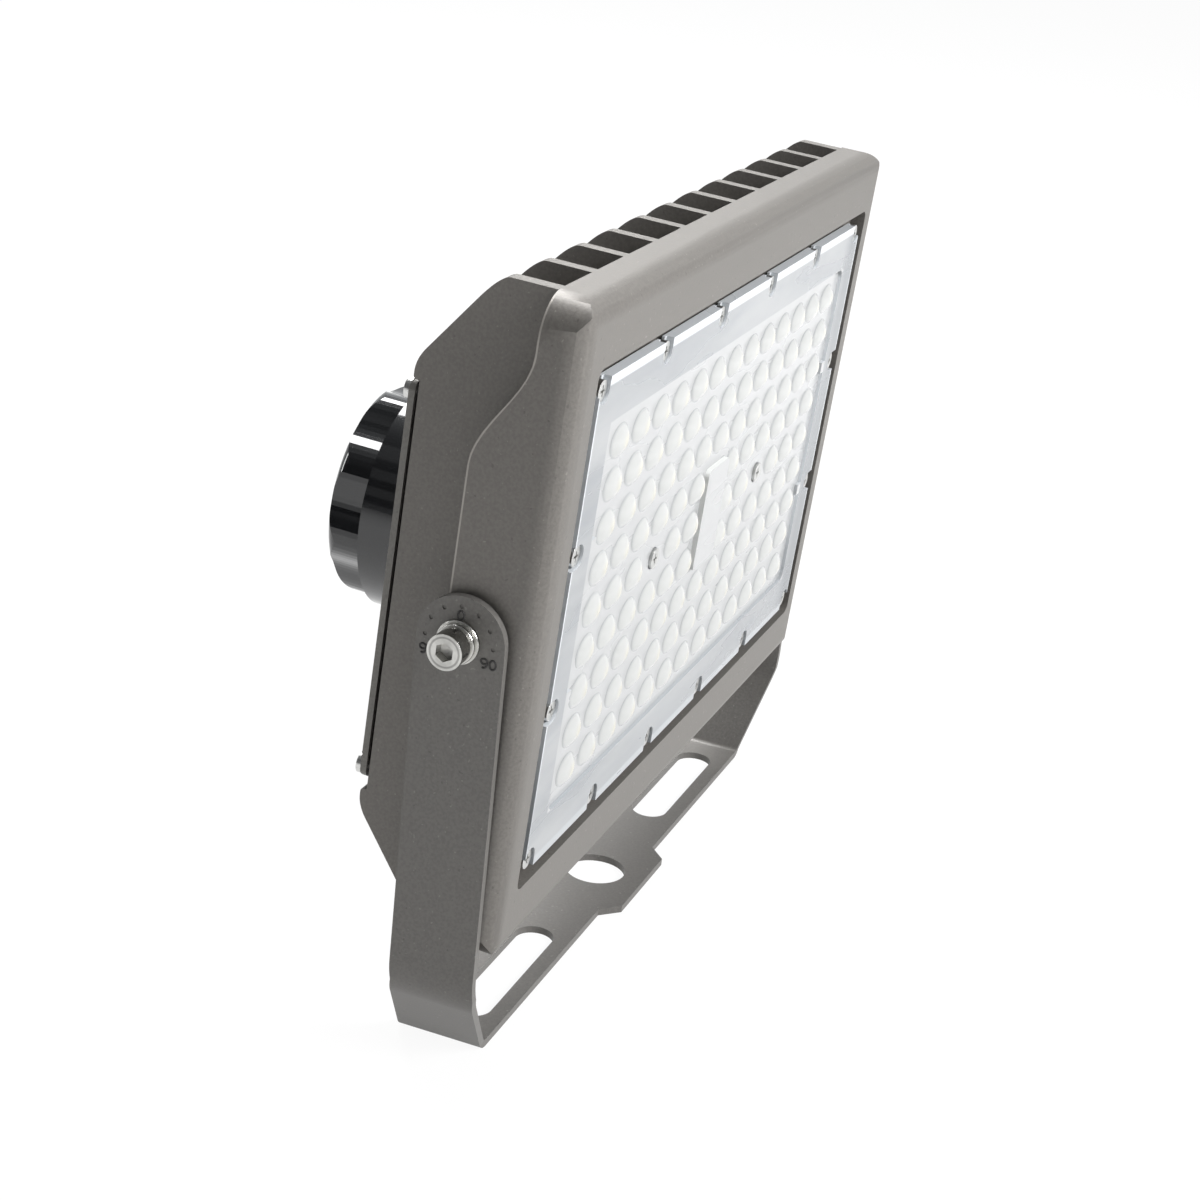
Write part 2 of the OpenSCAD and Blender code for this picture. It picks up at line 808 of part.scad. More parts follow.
// Clear moulded panel with its field of lenslets
module lens_panel() color("#dfe6ea") in_head() {
    difference() {
        union() {
            difference() {
                from_front(lens_set_back, lens_back)
                    round_rect(lens_w, lens_h, lens_corner_r);
                from_front(-cut, field_y)
                    round_rect(2 * field_x, 2 * field_z, field_r);
            }
            for (i = [-1, 1], k = [-1, 1])
                translate([i * (field_x - rib_in / 2) - rib_in, lens_set_back, k * lens_screw_side_z - rib_w / 2])
                    cube([2 * rib_in, lens_t, rib_w]);
            for (p = lenslet_places())
                lenslet(p[0], p[1]);
            from_front(field_y - boss_rise, lens_back)
                round_rect(boss_w, boss_h, boss_corner_r);
            for (i = [-1, 1])
                rod_y(i * centre_screw_x, 0, post_r, field_y, board_y);
        }
        from_front(field_y - boss_rise + boss_face_t, lens_back + cut)
            round_rect(boss_w - 2 * boss_wall, boss_h - 2 * boss_wall, boss_corner_r / 2);
        for (p = lens_screw_places())
            lens_notch(p, abs(p[1]) > lens_screw_side_z ? -90 * sign(p[1]) : 90 - 90 * sign(p[0]));
        for (i = [-1, 1]) {
            rod_y(i * centre_screw_x, 0, notch_r, -cut, field_y + centre_screw_sink);
            rod_y(i * centre_screw_x, 0, screw_r + set_gap, -cut, board_y + cut);
        }
    }
}

module lens_gasket() color("#2a2a2a") in_head()
    from_front(lens_back, ledge_d)
        difference() {
            round_rect(2 * seal_out_x, 2 * seal_out_z, lens_corner_r);
            round_rect(2 * (seal_out_x - seal_w), 2 * (seal_out_z - seal_w), pocket_r);
        }

module lens_screws() color("#c9cbcc") in_head()
    for (p = lens_screw_places())
        screw_front(p[0], p[1], lens_screw_seat, screw_l);

module lens_centre_screws() color("#c9cbcc") in_head()
    for (i = [-1, 1])
        screw_front(i * centre_screw_x, 0, field_y + centre_screw_sink, centre_screw_l);

// Holes that pass through the circuit board and its pad
module board_holes(y0, y1) {
    for (i = [-1, 1])
        rod_y(i * centre_screw_x, 0, screw_r + set_gap, y0 - cut, y1 + cut);
    for (p = board_screw_places())
        rod_y(p[0], p[1], board_screw_r + set_gap, y0 - cut, y1 + cut);
    rod_y(0, lead_z, lead_hole_r, y0 - cut, y1 + cut);
}

module led_board() color("#e9ebe6") in_head()
    difference() {
        from_front(board_y, board_y + board_t)
            square([2 * board_x, 2 * board_z], center = true);
        board_holes(board_y, board_y + board_t);
    }

module thermal_pad() color("#8d9196") in_head()
    difference() {
        from_front(board_y + board_t, floor_y)
            square([2 * board_x, 2 * board_z], center = true);
        board_holes(board_y + board_t, floor_y);
    }

module led_chips() color("#e8d56a") in_head()
    for (p = lenslet_places())
        translate([p[0] - chip / 2, board_y - chip_t, p[1] - chip / 2])
            cube([chip, chip_t, chip]);

module board_screws() color("#c9cbcc") in_head()
    for (p = board_screw_places()) {
        rod_y(p[0], p[1], board_screw_head_r, board_y - board_screw_head_h, board_y);
        rod_y(p[0], p[1], board_screw_r, board_y, board_y + board_screw_l);
    }

module board_connector() color("#f2f0e8") in_head()
    translate([-connector_w / 2, board_y - connector_t, 0])
        cube([connector_w, connector_t, connector_l]);

// Two leads from the driver to the connector on the circuit board
module led_leads() color("#b33a2e") in_head() {
    front = board_y - connector_t / 2;
    for (i = [-1, 1]) {
        x = i * lead_spacing / 2;
        wire([[x, front, 0], [x, front, lead_z], [x, led_wire_y + x, lead_z], [driver_x, led_wire_y + x, lead_z]],
            lead_r);
    }
}

module lead_grommet() color("#2a2a2a") in_head()
    difference() {
        union() {
            rod_y(0, lead_z, lead_hole_r, bay_front_d, bay_floor_y);
            rod_y(0, lead_z, lead_hole_r + grommet_lip, bay_floor_y, bay_floor_y + grommet_lip);
        }
        for (i = [-1, 1])
            rod_y(i * lead_spacing / 2, lead_z, lead_r + thread_gap, bay_front_d - cut,
                bay_floor_y + grommet_lip + cut);
    }

// Places of the socket's screws
function socket_screw_places() = [
    for (turn = socket_turns)
        [socket_screw_circle_r * cos(turn + socket_screw_turn) - socket_x,
            socket_screw_circle_r * sin(turn + socket_screw_turn)]];

// Cover with a rounded upper and lower edge
module rear_cover() color("#615f5c") in_head()
    difference() {
        intersection() {
            from_front(cover_y, cover_back)
                translate([0, (cover_top_z - cover_low_z) / 2])
                    round_rect(2 * cover_x, cover_top_z + cover_low_z, cover_corner_r);
            from_side(-cover_x, cover_x) {
                translate([cover_y, cover_edge_r - cover_low_z])
                    square([cover_t, cover_top_z + cover_low_z - 2 * cover_edge_r]);
                for (z = [cover_edge_r - cover_low_z, cover_top_z - cover_edge_r])
                    translate([cover_back - cover_edge_r, z])
                        circle(cover_edge_r);
            }
        }
        for (p = cover_screw_places())
            rod_y(p[0], p[1], screw_r + set_gap, cover_y - cut, cover_back + cut);
        rod_y(-socket_x, 0, core_r + set_gap, cover_y - cut, cover_back + cut);
        for (p = socket_screw_places())
            rod_y(p[0], p[1], screw_r + set_gap, cover_y - cut, cover_back + cut);
        rod_y(gland_x, gland_z, gland_r + set_gap, cover_y - cut, cover_back + cut);
        rod_y(vent_x, vent_z, vent_r + set_gap, cover_y - cut, cover_back + cut);
    }

module rear_cover_gasket() color("#1c1c1c") in_head()
    from_front(seat_y, cover_y)
        difference() {
            bay_rect(set_gap + cover_seal_w);
            bay_rect(set_gap);
        }

module rear_cover_screws() color("#c9cbcc") in_head()
    for (p = cover_screw_places())
        screw_back(p[0], p[1], cover_back, screw_l);

// Tray of the driver with a fixing tab at each end
module driver_case() color("#c4c6c8") in_head() {
    difference() {
        union() {
            translate([driver_x, bay_floor_y, -driver_w / 2])
                cube([driver_l, driver_lid_y - bay_floor_y, driver_w]);
            translate([driver_x - 2 * floor_boss_r, bay_floor_y, -floor_boss_r])
                cube([driver_l + 4 * floor_boss_r, driver_wall, 2 * floor_boss_r]);
        }
        translate([driver_x + driver_wall, bay_floor_y + driver_wall, driver_wall - driver_w / 2])
            cube([driver_l - 2 * driver_wall, driver_h, driver_w - 2 * driver_wall]);
        for (i = [1, 2])
            rod_y(floor_screws[i][0], 0, screw_r + set_gap, bay_floor_y - cut, bay_floor_y + driver_wall + cut);
    }
    for (i = [0, 1], k = [-1, 1])
        rod_y(driver_x + driver_board_edge + i * (driver_l - 2 * driver_board_edge),
            k * (driver_w / 2 - driver_board_edge), driver_post_r,
            bay_floor_y + driver_wall / 2, driver_board_y);
}

module driver_lid() color("#b9bbbd") in_head()
    translate([driver_x, driver_lid_y, -driver_w / 2])
        cube([driver_l, driver_wall, driver_w]);

module driver_board() color("#2f6b3c") in_head()
    translate([driver_x + driver_wall + driver_board_gap, driver_board_y,
            driver_wall + driver_board_gap - driver_w / 2])
        cube([driver_l - 2 * (driver_wall + driver_board_gap), driver_board_t,
            driver_w - 2 * (driver_wall + driver_board_gap)]);

module driver_transformer() color("#c9a23c") in_head()
    translate([driver_x + (driver_l - transformer_w) / 2, driver_board_y + driver_board_t, -transformer_h / 2])
        cube([transformer_w, transformer_t, transformer_h]);

module driver_capacitors() color("#20242b") in_head()
    for (i = [-1, 0, 1])
        rod_y(driver_x + driver_l - 2 * capacitor_pitch, i * capacitor_pitch, capacitor_r,
            driver_board_y + driver_board_t, driver_board_y + driver_board_t + capacitor_t);

module driver_screws() color("#c9cbcc") in_head()
    for (i = [1, 2])
        screw_back(floor_screws[i][0], 0, bay_floor_y + driver_wall, floor_screw_l);

module terminal_block() color("#e6e3da") in_head()
    difference() {
        translate([terminal_x, bay_floor_y, terminal_low_z])
            cube([terminal_w, terminal_t, terminal_h]);
        for (i = [0:terminal_poles - 1])
            rod_y(terminal_pole_x(i), terminal_low_z + terminal_h / 2, terminal_screw_r + set_gap,
                bay_floor_y + terminal_t - terminal_sunk - terminal_screw_d, bay_floor_y + terminal_t + cut);
    }

// Middle of a pole of the terminal block
function terminal_pole_x(i) = terminal_x + terminal_w / 2 + (i - (terminal_poles - 1) / 2) * terminal_pitch;

module terminal_screws() color("#b9a25a") in_head()
    for (i = [0:terminal_poles - 1])
        rod_y(terminal_pole_x(i), terminal_low_z + terminal_h / 2, terminal_screw_r,
            bay_floor_y + terminal_t - terminal_sunk - terminal_screw_d,
            bay_floor_y + terminal_t - terminal_sunk);

module surge_protector() color("#3c4a63") in_head()
    translate([surge_x, bay_floor_y, -surge_h / 2])
        cube([surge_w, surge_t, surge_h]);

module surge_wires() color("#3a3a3a") in_head()
    for (i = [0, 1]) {
        z = -wire_step * (i + 1);
        x = terminal_x - wire_step * (i + 2);
        low = terminal_low_z + terminal_h - wire_step * (i + 1);
        wire([[surge_x + surge_w, surge_wire_y, z], [x, surge_wire_y, z], [x, surge_wire_y, low],
            [terminal_x, surge_wire_y, low]], wire_r);
    }

module mains_wires() color("#5a3b25") in_head()
    for (i = [0:terminal_poles - 1]) {
        x = terminal_pole_x(terminal_poles - 1 - i);
        z = mains_wire_z + i * wire_step;
        wire([[x, mains_wire_y, terminal_low_z + terminal_h], [x, mains_wire_y, z], [driver_x, mains_wire_y, z]],
            wire_r);
    }

// Places of the socket's contacts round its axis
function contact_place(i) = [
    (contact_out_r - contact_t / 2) * cos(socket_turns[i] + blade_turn) - socket_x,
    (contact_out_r - contact_t / 2) * sin(socket_turns[i] + blade_turn)];

module socket_wires() color("#7c7f83") in_head()
    for (i = [0:2]) {
        p = contact_place(i);
        low = terminal_low_z + socket_wire_lift + i * wire_step;
        wire([[p[0], collar_end - socket_face_t - contact_h, p[1]], [p[0], socket_wire_y, p[1]],
            [p[0], socket_wire_y, low], [terminal_x, socket_wire_y, low]], wire_r);
    }

// Earth lead with the lug under the earth screw
module earth_wire() color("#7fa03a") in_head() {
    tail_x = earth_x + lug_tail - wire_r;
    wire([[terminal_x, earth_wire_y, earth_z], [tail_x, earth_wire_y, earth_z],
        [tail_x, bay_floor_y + lug_t / 2, earth_z]], wire_r);
    difference() {
        union() {
            rod_y(earth_x, earth_z, lug_r, bay_floor_y, bay_floor_y + lug_t);
            translate([earth_x, bay_floor_y, earth_z - lug_tail_w / 2])
                cube([lug_tail, lug_t, lug_tail_w]);
        }
        rod_y(earth_x, earth_z, screw_r + set_gap, bay_floor_y - cut, bay_floor_y + lug_t + cut);
    }
}

module earth_screw() color("#c9b36a") in_head()
    screw_back(earth_x, earth_z, bay_floor_y + lug_t, floor_screw_l);

// Hexagonal gland body with a neck behind and a thread through the cover
module cable_gland_body() color("#23252a") in_head()
    difference() {
        union() {
            rod_y(gland_x, gland_z, gland_r, cover_y - gland_inside, gland_y + gland_body_h / 2);
            hex_y(gland_x, gland_z, gland_hex_r, gland_y, gland_y + gland_body_h);
            rod_y(gland_x, gland_z, gland_neck_r, gland_y + gland_body_h / 2, gland_y + gland_body_h + gland_neck_h);
        }
        rod_y(gland_x, gland_z, cable_bore_r, cover_y - gland_inside - cut,
            gland_y + gland_body_h + gland_neck_h + cut);
    }

module cable_gland_seal() color("#1c1c1c") in_head()
    difference() {
        rod_y(gland_x, gland_z, gland_seal_r, cover_back, gland_y);
        rod_y(gland_x, gland_z, gland_r + thread_gap, cover_back - cut, gland_y + cut);
    }

module cable_gland_insert() color("#1c1c1c") in_head()
    difference() {
        rod_y(gland_x, gland_z, gland_neck_r, gland_y + gland_body_h + gland_neck_h,
            gland_nut_y + gland_nut_h - gland_nut_face_t);
        rod_y(gland_x, gland_z, cable_bore_r, gland_y, gland_nut_y + gland_nut_h);
    }

module cable_gland_nut() color("#23252a") in_head()
    difference() {
        intersection() {
            hex_y(gland_x, gland_z, gland_nut_r, gland_nut_y, gland_nut_y + gland_nut_h);
            union() {
                rod_y(gland_x, gland_z, gland_nut_r, gland_nut_y, gland_nut_y + gland_nut_h / 2);
                translate([gland_x, gland_nut_y + gland_nut_h / 2, gland_z])
                    scale(gland_nut_h / 2 / gland_nut_r * sqrt(2))
                        sphere(gland_nut_r);
            }
        }
        rod_y(gland_x, gland_z, gland_neck_r + thread_gap, gland_nut_y - cut,
            gland_nut_y + gland_nut_h - gland_nut_face_t);
        rod_y(gland_x, gland_z, cable_bore_r, gland_nut_y - cut, gland_nut_y + gland_nut_h + cut);
    }

module cable_gland_locknut() color("#23252a") in_head()
    difference() {
        hex_y(gland_x, gland_z, locknut_r, cover_y - locknut_t, cover_y);
        rod_y(gland_x, gland_z, gland_r + thread_gap, cover_y - locknut_t - cut, cover_y + cut);
    }

// Breathing plug: round head with a ring of holes and a thread through the cover
module vent_plug() color("#23252a") in_head()
    difference() {
        union() {
            rod_y(vent_x, vent_z, vent_head_r, cover_back + vent_seal_t, cover_back + vent_seal_t + vent_h);
            rod_y(vent_x, vent_z, vent_r, cover_y - vent_inside, cover_back + vent_seal_t + vent_h / 2);
        }
        for (i = [0:vent_holes - 1])
            rod_y(vent_x + vent_r * cos(i * 360 / vent_holes), vent_z + vent_r * sin(i * 360 / vent_holes),
                vent_hole_r, cover_back + vent_seal_t + vent_h / 2, cover_back + vent_seal_t + vent_h + cut);
    }

module vent_seal() color("#1c1c1c") in_head()
    difference() {
        rod_y(vent_x, vent_z, vent_seal_r, cover_back, cover_back + vent_seal_t);
        rod_y(vent_x, vent_z, vent_r + thread_gap, cover_back - cut, cover_back + vent_seal_t + cut);
    }

module vent_nut() color("#c9cbcc") in_head()
    difference() {
        hex_y(vent_x, vent_z, vent_nut_r, cover_y - vent_nut_t, cover_y);
        rod_y(vent_x, vent_z, vent_r + thread_gap, cover_y - vent_nut_t - cut, cover_y + cut);
    }

// Round collar with a core that passes through the cover
module socket_body() color("#1d1e20") in_head()
    difference() {
        union() {
            difference() {
                rod_y(-socket_x, 0, collar_r, socket_y, collar_end);
                rod_y(-socket_x, 0, collar_r - collar_wall, socket_y + socket_base_t, collar_end - socket_face_t);
            }
            rod_y(-socket_x, 0, core_r, core_y, collar_end - socket_face_t / 2);
            for (p = socket_screw_places())
                rod_y(p[0], p[1], socket_boss_r, socket_y + socket_base_t / 2,
                    socket_y + socket_base_t + socket_boss_h);
        }
        rod_y(-socket_x, 0, core_r - core_wall, core_y + core_floor_t, collar_end - socket_face_t);
        for (p = socket_screw_places())
            rod_y(p[0], p[1], screw_r + thread_gap, socket_y - cut, cover_y + screw_l + cut);
        for (turn = socket_turns)
            arc_y(-socket_x, 0, blade_circle_r - blade_t / 2 - blade_slot_gap,
                blade_circle_r + blade_t / 2 + blade_slot_gap,
                collar_end - socket_face_t - cut, collar_end + cut,
                turn + blade_turn - cap_twist - blade_span / 2 - 2 * blade_slot_turn,
                cap_twist + blade_span + 4 * blade_slot_turn);
        for (i = [0:2])
            rod_y(contact_place(i)[0], contact_place(i)[1], wire_r + set_gap, core_y - cut, core_y + core_floor_t + cut);
    }

module socket_gasket() color("#1c1c1c") in_head()
    difference() {
        rod_y(-socket_x, 0, collar_r - collar_wall / 2, cover_back, socket_y);
        rod_y(-socket_x, 0, core_r + set_gap, cover_back - cut, socket_y + cut);
        for (p = socket_screw_places())
            rod_y(p[0], p[1], screw_r + set_gap, cover_back - cut, socket_y + cut);
    }

module socket_contacts() color("#b98a4a") in_head()
    for (turn = socket_turns)
        arc_y(-socket_x, 0, contact_out_r - contact_t, contact_out_r,
            collar_end - socket_face_t - contact_h, collar_end - socket_face_t,
            turn + blade_turn - contact_span / 2, contact_span);

module socket_screws() color("#c9cbcc") in_head()
    for (p = socket_screw_places())
        screw_front(p[0], p[1], cover_y, screw_l);

// Outline of the cap with its hand grips
function cap_outline() = [
    for (i = [0:cap_steps - 1])
        let (turn = i * 360 / cap_steps, place = turn + cap_turn)
            (cap_r + cap_grip * cos(cap_grips * turn)) * [cos(place), sin(place)]];

// Twist-lock cap: a shell with hand grips and a rounded rear edge
module control_cap() color("#141517") in_head()
    difference() {
        intersection() {
            translate([-socket_x, 0, 0])
                from_front(cap_y, cap_end)
                    polygon(cap_outline());
            translate([-socket_x, cap_y, 0])
                rotate([-90, 0, 0])
                    rotate_extrude() {
                        square([cap_r + cap_grip - cap_round, cap_end - cap_y]);
                        square([cap_r + cap_grip, cap_end - cap_y - cap_round]);
                        translate([cap_r + cap_grip - cap_round, cap_end - cap_y - cap_round])
                            intersection() {
                                circle(cap_round);
                                square(cap_round);
                            }
                    }
        }
        rod_y(-socket_x, 0, cap_in_r, cap_y - cut, cap_end - cap_wall);
    }

module cap_base() color("#2b2620") in_head()
    difference() {
        rod_y(-socket_x, 0, cap_in_r - thread_gap, collar_end + cap_seal_t, collar_end + cap_seal_t + cap_base_t);
        for (turn = socket_turns)
            arc_y(-socket_x, 0, blade_circle_r - blade_t / 2 - thread_gap, blade_circle_r + blade_t / 2 + thread_gap,
                collar_end, cap_end, turn + blade_turn - blade_span / 2 - base_slot_turn,
                blade_span + 2 * base_slot_turn);
    }

module cap_gasket() color("#4a4a48") in_head()
    difference() {
        rod_y(-socket_x, 0, cap_in_r - set_gap, collar_end, collar_end + cap_seal_t);
        rod_y(-socket_x, 0, cap_in_r - set_gap - cap_seal_w, collar_end - cut, collar_end + cap_seal_t + cut);
    }

module cap_blades() color("#c9a86a") in_head()
    for (turn = socket_turns)
        arc_y(-socket_x, 0, blade_circle_r - blade_t / 2, blade_circle_r + blade_t / 2,
            collar_end - blade_in, cap_end - cap_wall - link_t, turn + blade_turn - blade_span / 2, blade_span);

module cap_link() color("#b98a4a") in_head()
    rod_y(-socket_x, 0, blade_circle_r + blade_t, cap_end - cap_wall - link_t, cap_end - cap_wall);

// Arc that rounds the corner p between a and b
function unit(v) = v / norm(v);
function bend(a, p, b, r) =
    let (u = unit(a - p), w = unit(b - p), half = acos(u * w) / 2,
        c = p + unit(u + w) * r / sin(half), s = p + u * r / tan(half), e = p + w * r / tan(half))
    [for (i = [0:bend_steps]) let (q = s + (e - s) * i / bend_steps) c + unit(q - c) * r];

// One side of the sheet seen from the front, at a distance in from the outer face
function sheet_line(inset) =
    let (lean = atan2(flank_in, flank_h),
        top = [arm_out_x - inset, pivot_h + arm_w],
        knee = [arm_out_x - inset, flank_h + inset * tan(lean / 2)],
        toe = [foot_x - inset * tan(45 - lean / 2), inset])
    concat([top], bend(top, knee, toe, arm_bend_r - inset), bend(knee, toe, [0, inset], bend_r - inset));

// The whole sheet seen from the front
module sheet_section() {
    outer = sheet_line(0);
    inner = sheet_line(sheet_t);
    n = len(outer);
    polygon(concat(
        outer,
        [for (i = [1:n]) [-outer[n - i][0], outer[n - i][1]]],
        [for (p = inner) [-p[0], p[1]]],
        [for (i = [1:n]) inner[n - i]]));
}

// The bracket seen from the side: arms, flanks and foot
module sheet_side() {
    mid = -pivot_front - arm_front;
    translate([mid, pivot_h])
        circle(arm_w / 2);
    polygon([
        [mid - arm_w / 2, pivot_h], [mid + arm_w / 2, pivot_h], [mid + arm_w / 2, flank_h],
        [foot_back, sheet_t], [foot_back, -cut], [-foot_front, -cut], [-foot_front, sheet_t],
        [mid - arm_w / 2, flank_h]]);
}

// Dimples of the tilt dial round one pivot
module dial_dots() {
    for (a = [-90:dial_step:90])
        translate([arm_out_x - dial_dot_d, -pivot_front + dial_r * sin(a), pivot_h + dial_r * cos(a)])
            rotate([0, 90, 0])
                cylinder(h = dial_dot_d + cut, r = dial_dot_r);
}

module bracket() color("#6a6967") {
    difference() {
        union() {
            intersection() {
                from_front(-pivot_front - arm_w, foot_back + cut)
                    sheet_section();
                from_side(-arm_out_x - cut, arm_out_x + cut)
                    sheet_side();
            }
            linear_extrude(sheet_t)
                polygon([
                    [-tab_root_x, cut - foot_front], [-tab_root_x, -foot_front],
                    [-tab_tip_x, -foot_front - tab_out], [tab_tip_x, -foot_front - tab_out],
                    [tab_root_x, -foot_front], [tab_root_x, cut - foot_front]]);
        }
        translate([0, 0, -cut])
            cylinder(h = sheet_t + 2 * cut, r = foot_hole_r);
        both_sides() {
            translate([slot_x, 0, -cut]) {
                for (i = [-1, 1])
                    translate([i * (slot_l - slot_w) / 2, 0, 0])
                        cylinder(h = sheet_t + 2 * cut, r = slot_w / 2);
                translate([-(slot_l - slot_w) / 2, -slot_w / 2, 0])
                    cube([slot_l - slot_w, slot_w, sheet_t + 2 * cut]);
            }
            rod_x(-pivot_front, pivot_h, bolt_r + pivot_gap, arm_in_x - cut, arm_out_x + cut);
            dial_dots();
        }
    }
}

// Socket head bolts, turned into the pads
module pivot_bolts() color("#d4d6d8") in_head()
    both_sides()
        difference() {
            union() {
                rod_x(pivot_d, 0, bolt_r, bolt_seat_x - bolt_l, bolt_seat_x + bolt_head_h / 2);
                rod_x(pivot_d, 0, bolt_head_r, bolt_seat_x, bolt_seat_x + bolt_head_h);
            }
            translate([bolt_seat_x + bolt_head_h / 2, pivot_d, 0])
                rotate([0, 90, 0])
                    cylinder(h = bolt_head_h, r = bolt_hex_r, $fn = 6);
        }

module pivot_spring_washers() color("#b8babd") in_head()
    both_sides()
        difference() {
            rod_x(pivot_d, 0, spring_washer_r, washer_x, bolt_seat_x);
            rod_x(pivot_d, 0, bolt_r + set_gap, washer_x - cut, bolt_seat_x + cut);
            translate([washer_x - cut, pivot_d, -spring_split / 2])
                cube([spring_washer_t + 2 * cut, spring_washer_r + cut, spring_split]);
        }

module pivot_flat_washers() color("#d4d6d8") in_head()
    both_sides()
        difference() {
            rod_x(pivot_d, 0, flat_washer_r, washer_in_x, washer_x);
            rod_x(pivot_d, 0, bolt_r + set_gap, washer_in_x - cut, washer_x + cut);
        }

module pivot_spacers() color("#e8e8e4") in_head()
    both_sides()
        difference() {
            rod_x(pivot_d, 0, spacer_r, head_w / 2, arm_in_x - arm_play);
            rod_x(pivot_d, 0, bolt_r + set_gap, head_w / 2 - cut, arm_in_x + cut);
        }

bracket();
housing();
lens_panel();
lens_gasket();
lens_screws();
lens_centre_screws();
led_board();
led_chips();
board_screws();
board_connector();
thermal_pad();
led_leads();
lead_grommet();
rear_cover();
rear_cover_gasket();
rear_cover_screws();
driver_case();
driver_lid();
driver_board();
driver_transformer();
driver_capacitors();
driver_screws();
terminal_block();
terminal_screws();
surge_protector();
surge_wires();
mains_wires();
socket_wires();
earth_wire();
earth_screw();
cable_gland_body();
cable_gland_seal();
cable_gland_insert();
cable_gland_nut();
cable_gland_locknut();
vent_plug();
vent_seal();
vent_nut();
socket_body();
socket_gasket();
socket_contacts();
socket_screws();
control_cap();
cap_base();
cap_blades();
cap_link();
cap_gasket();
pivot_bolts();
pivot_spring_washers();
pivot_flat_washers();
pivot_spacers();
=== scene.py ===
"""Looks of the LED flood light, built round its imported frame.

Lengths are in metres in the frame's axes: X along the foot, Y from the light's front to its back, Z up.
The origin is the centre of the foot's round hole. Colours are written as they look, from 0 to 255.
In a finish, a span holds the two values between which a mask goes from 0 to 1, a share says how strongly
a mark shows, a tone how light it is beside the finish's own colour, and rough what it adds to roughness.
"""

import logging
import math
from dataclasses import dataclass
from enum import Enum
from typing import List, Mapping, Optional, Sequence, Tuple, Union

import bmesh
import bpy
from mathutils import Matrix, Vector


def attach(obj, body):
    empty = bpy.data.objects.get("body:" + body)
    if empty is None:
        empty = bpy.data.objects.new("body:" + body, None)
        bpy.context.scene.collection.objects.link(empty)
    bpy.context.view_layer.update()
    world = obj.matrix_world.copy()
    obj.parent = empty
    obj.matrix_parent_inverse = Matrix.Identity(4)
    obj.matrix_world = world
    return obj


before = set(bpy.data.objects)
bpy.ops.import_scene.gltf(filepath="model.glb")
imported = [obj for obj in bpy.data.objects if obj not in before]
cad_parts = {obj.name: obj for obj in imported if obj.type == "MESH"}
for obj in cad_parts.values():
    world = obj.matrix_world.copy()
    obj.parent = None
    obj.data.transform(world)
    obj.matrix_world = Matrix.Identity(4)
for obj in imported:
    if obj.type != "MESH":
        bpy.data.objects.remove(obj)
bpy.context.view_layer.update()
LOG = logging.getLogger("flood_light")

MM = 0.001
X_AXIS, Y_AXIS, Z_AXIS = (1, 0, 0), (0, 1, 0), (0, 0, 1)
NO_DETAIL, SOFT_DETAIL, FINE_DETAIL = 0.0, 2.0, 3.0
NOISE_MEAN = 0.5
PLASTIC_IOR = 1.49
WELD_GAP = 0.002 * MM
SHARP_ANGLE = math.radians(38)
FACE_WEIGHT = 80
FINE_STEPS = 3
SCREW_EDGE = 0.25 * MM

Pair = Tuple[float, float]
Span = Pair
Triple = Tuple[float, float, float]
Color = Triple
Value = Union["Wire", float, Sequence[float]]


def linear(color: Color) -> Color:
    """Turns a colour as it looks into the shader's linear values, by the sRGB curve.

    Args:
        color: red, green and blue from 0 to 255.

    Returns:
        The linear red, green and blue.
    """
    def channel(value: float) -> float:
        """Turns one channel into its linear value."""
        share = value / 255
        return share / 12.92 if share <= 0.04045 else ((share + 0.055) / 1.055) ** 2.4

    return tuple(channel(value) for value in color)


def turns(count: int) -> List[float]:
    """Angles of points spread evenly round a circle."""
    return [2 * math.pi * k / count for k in range(count)]


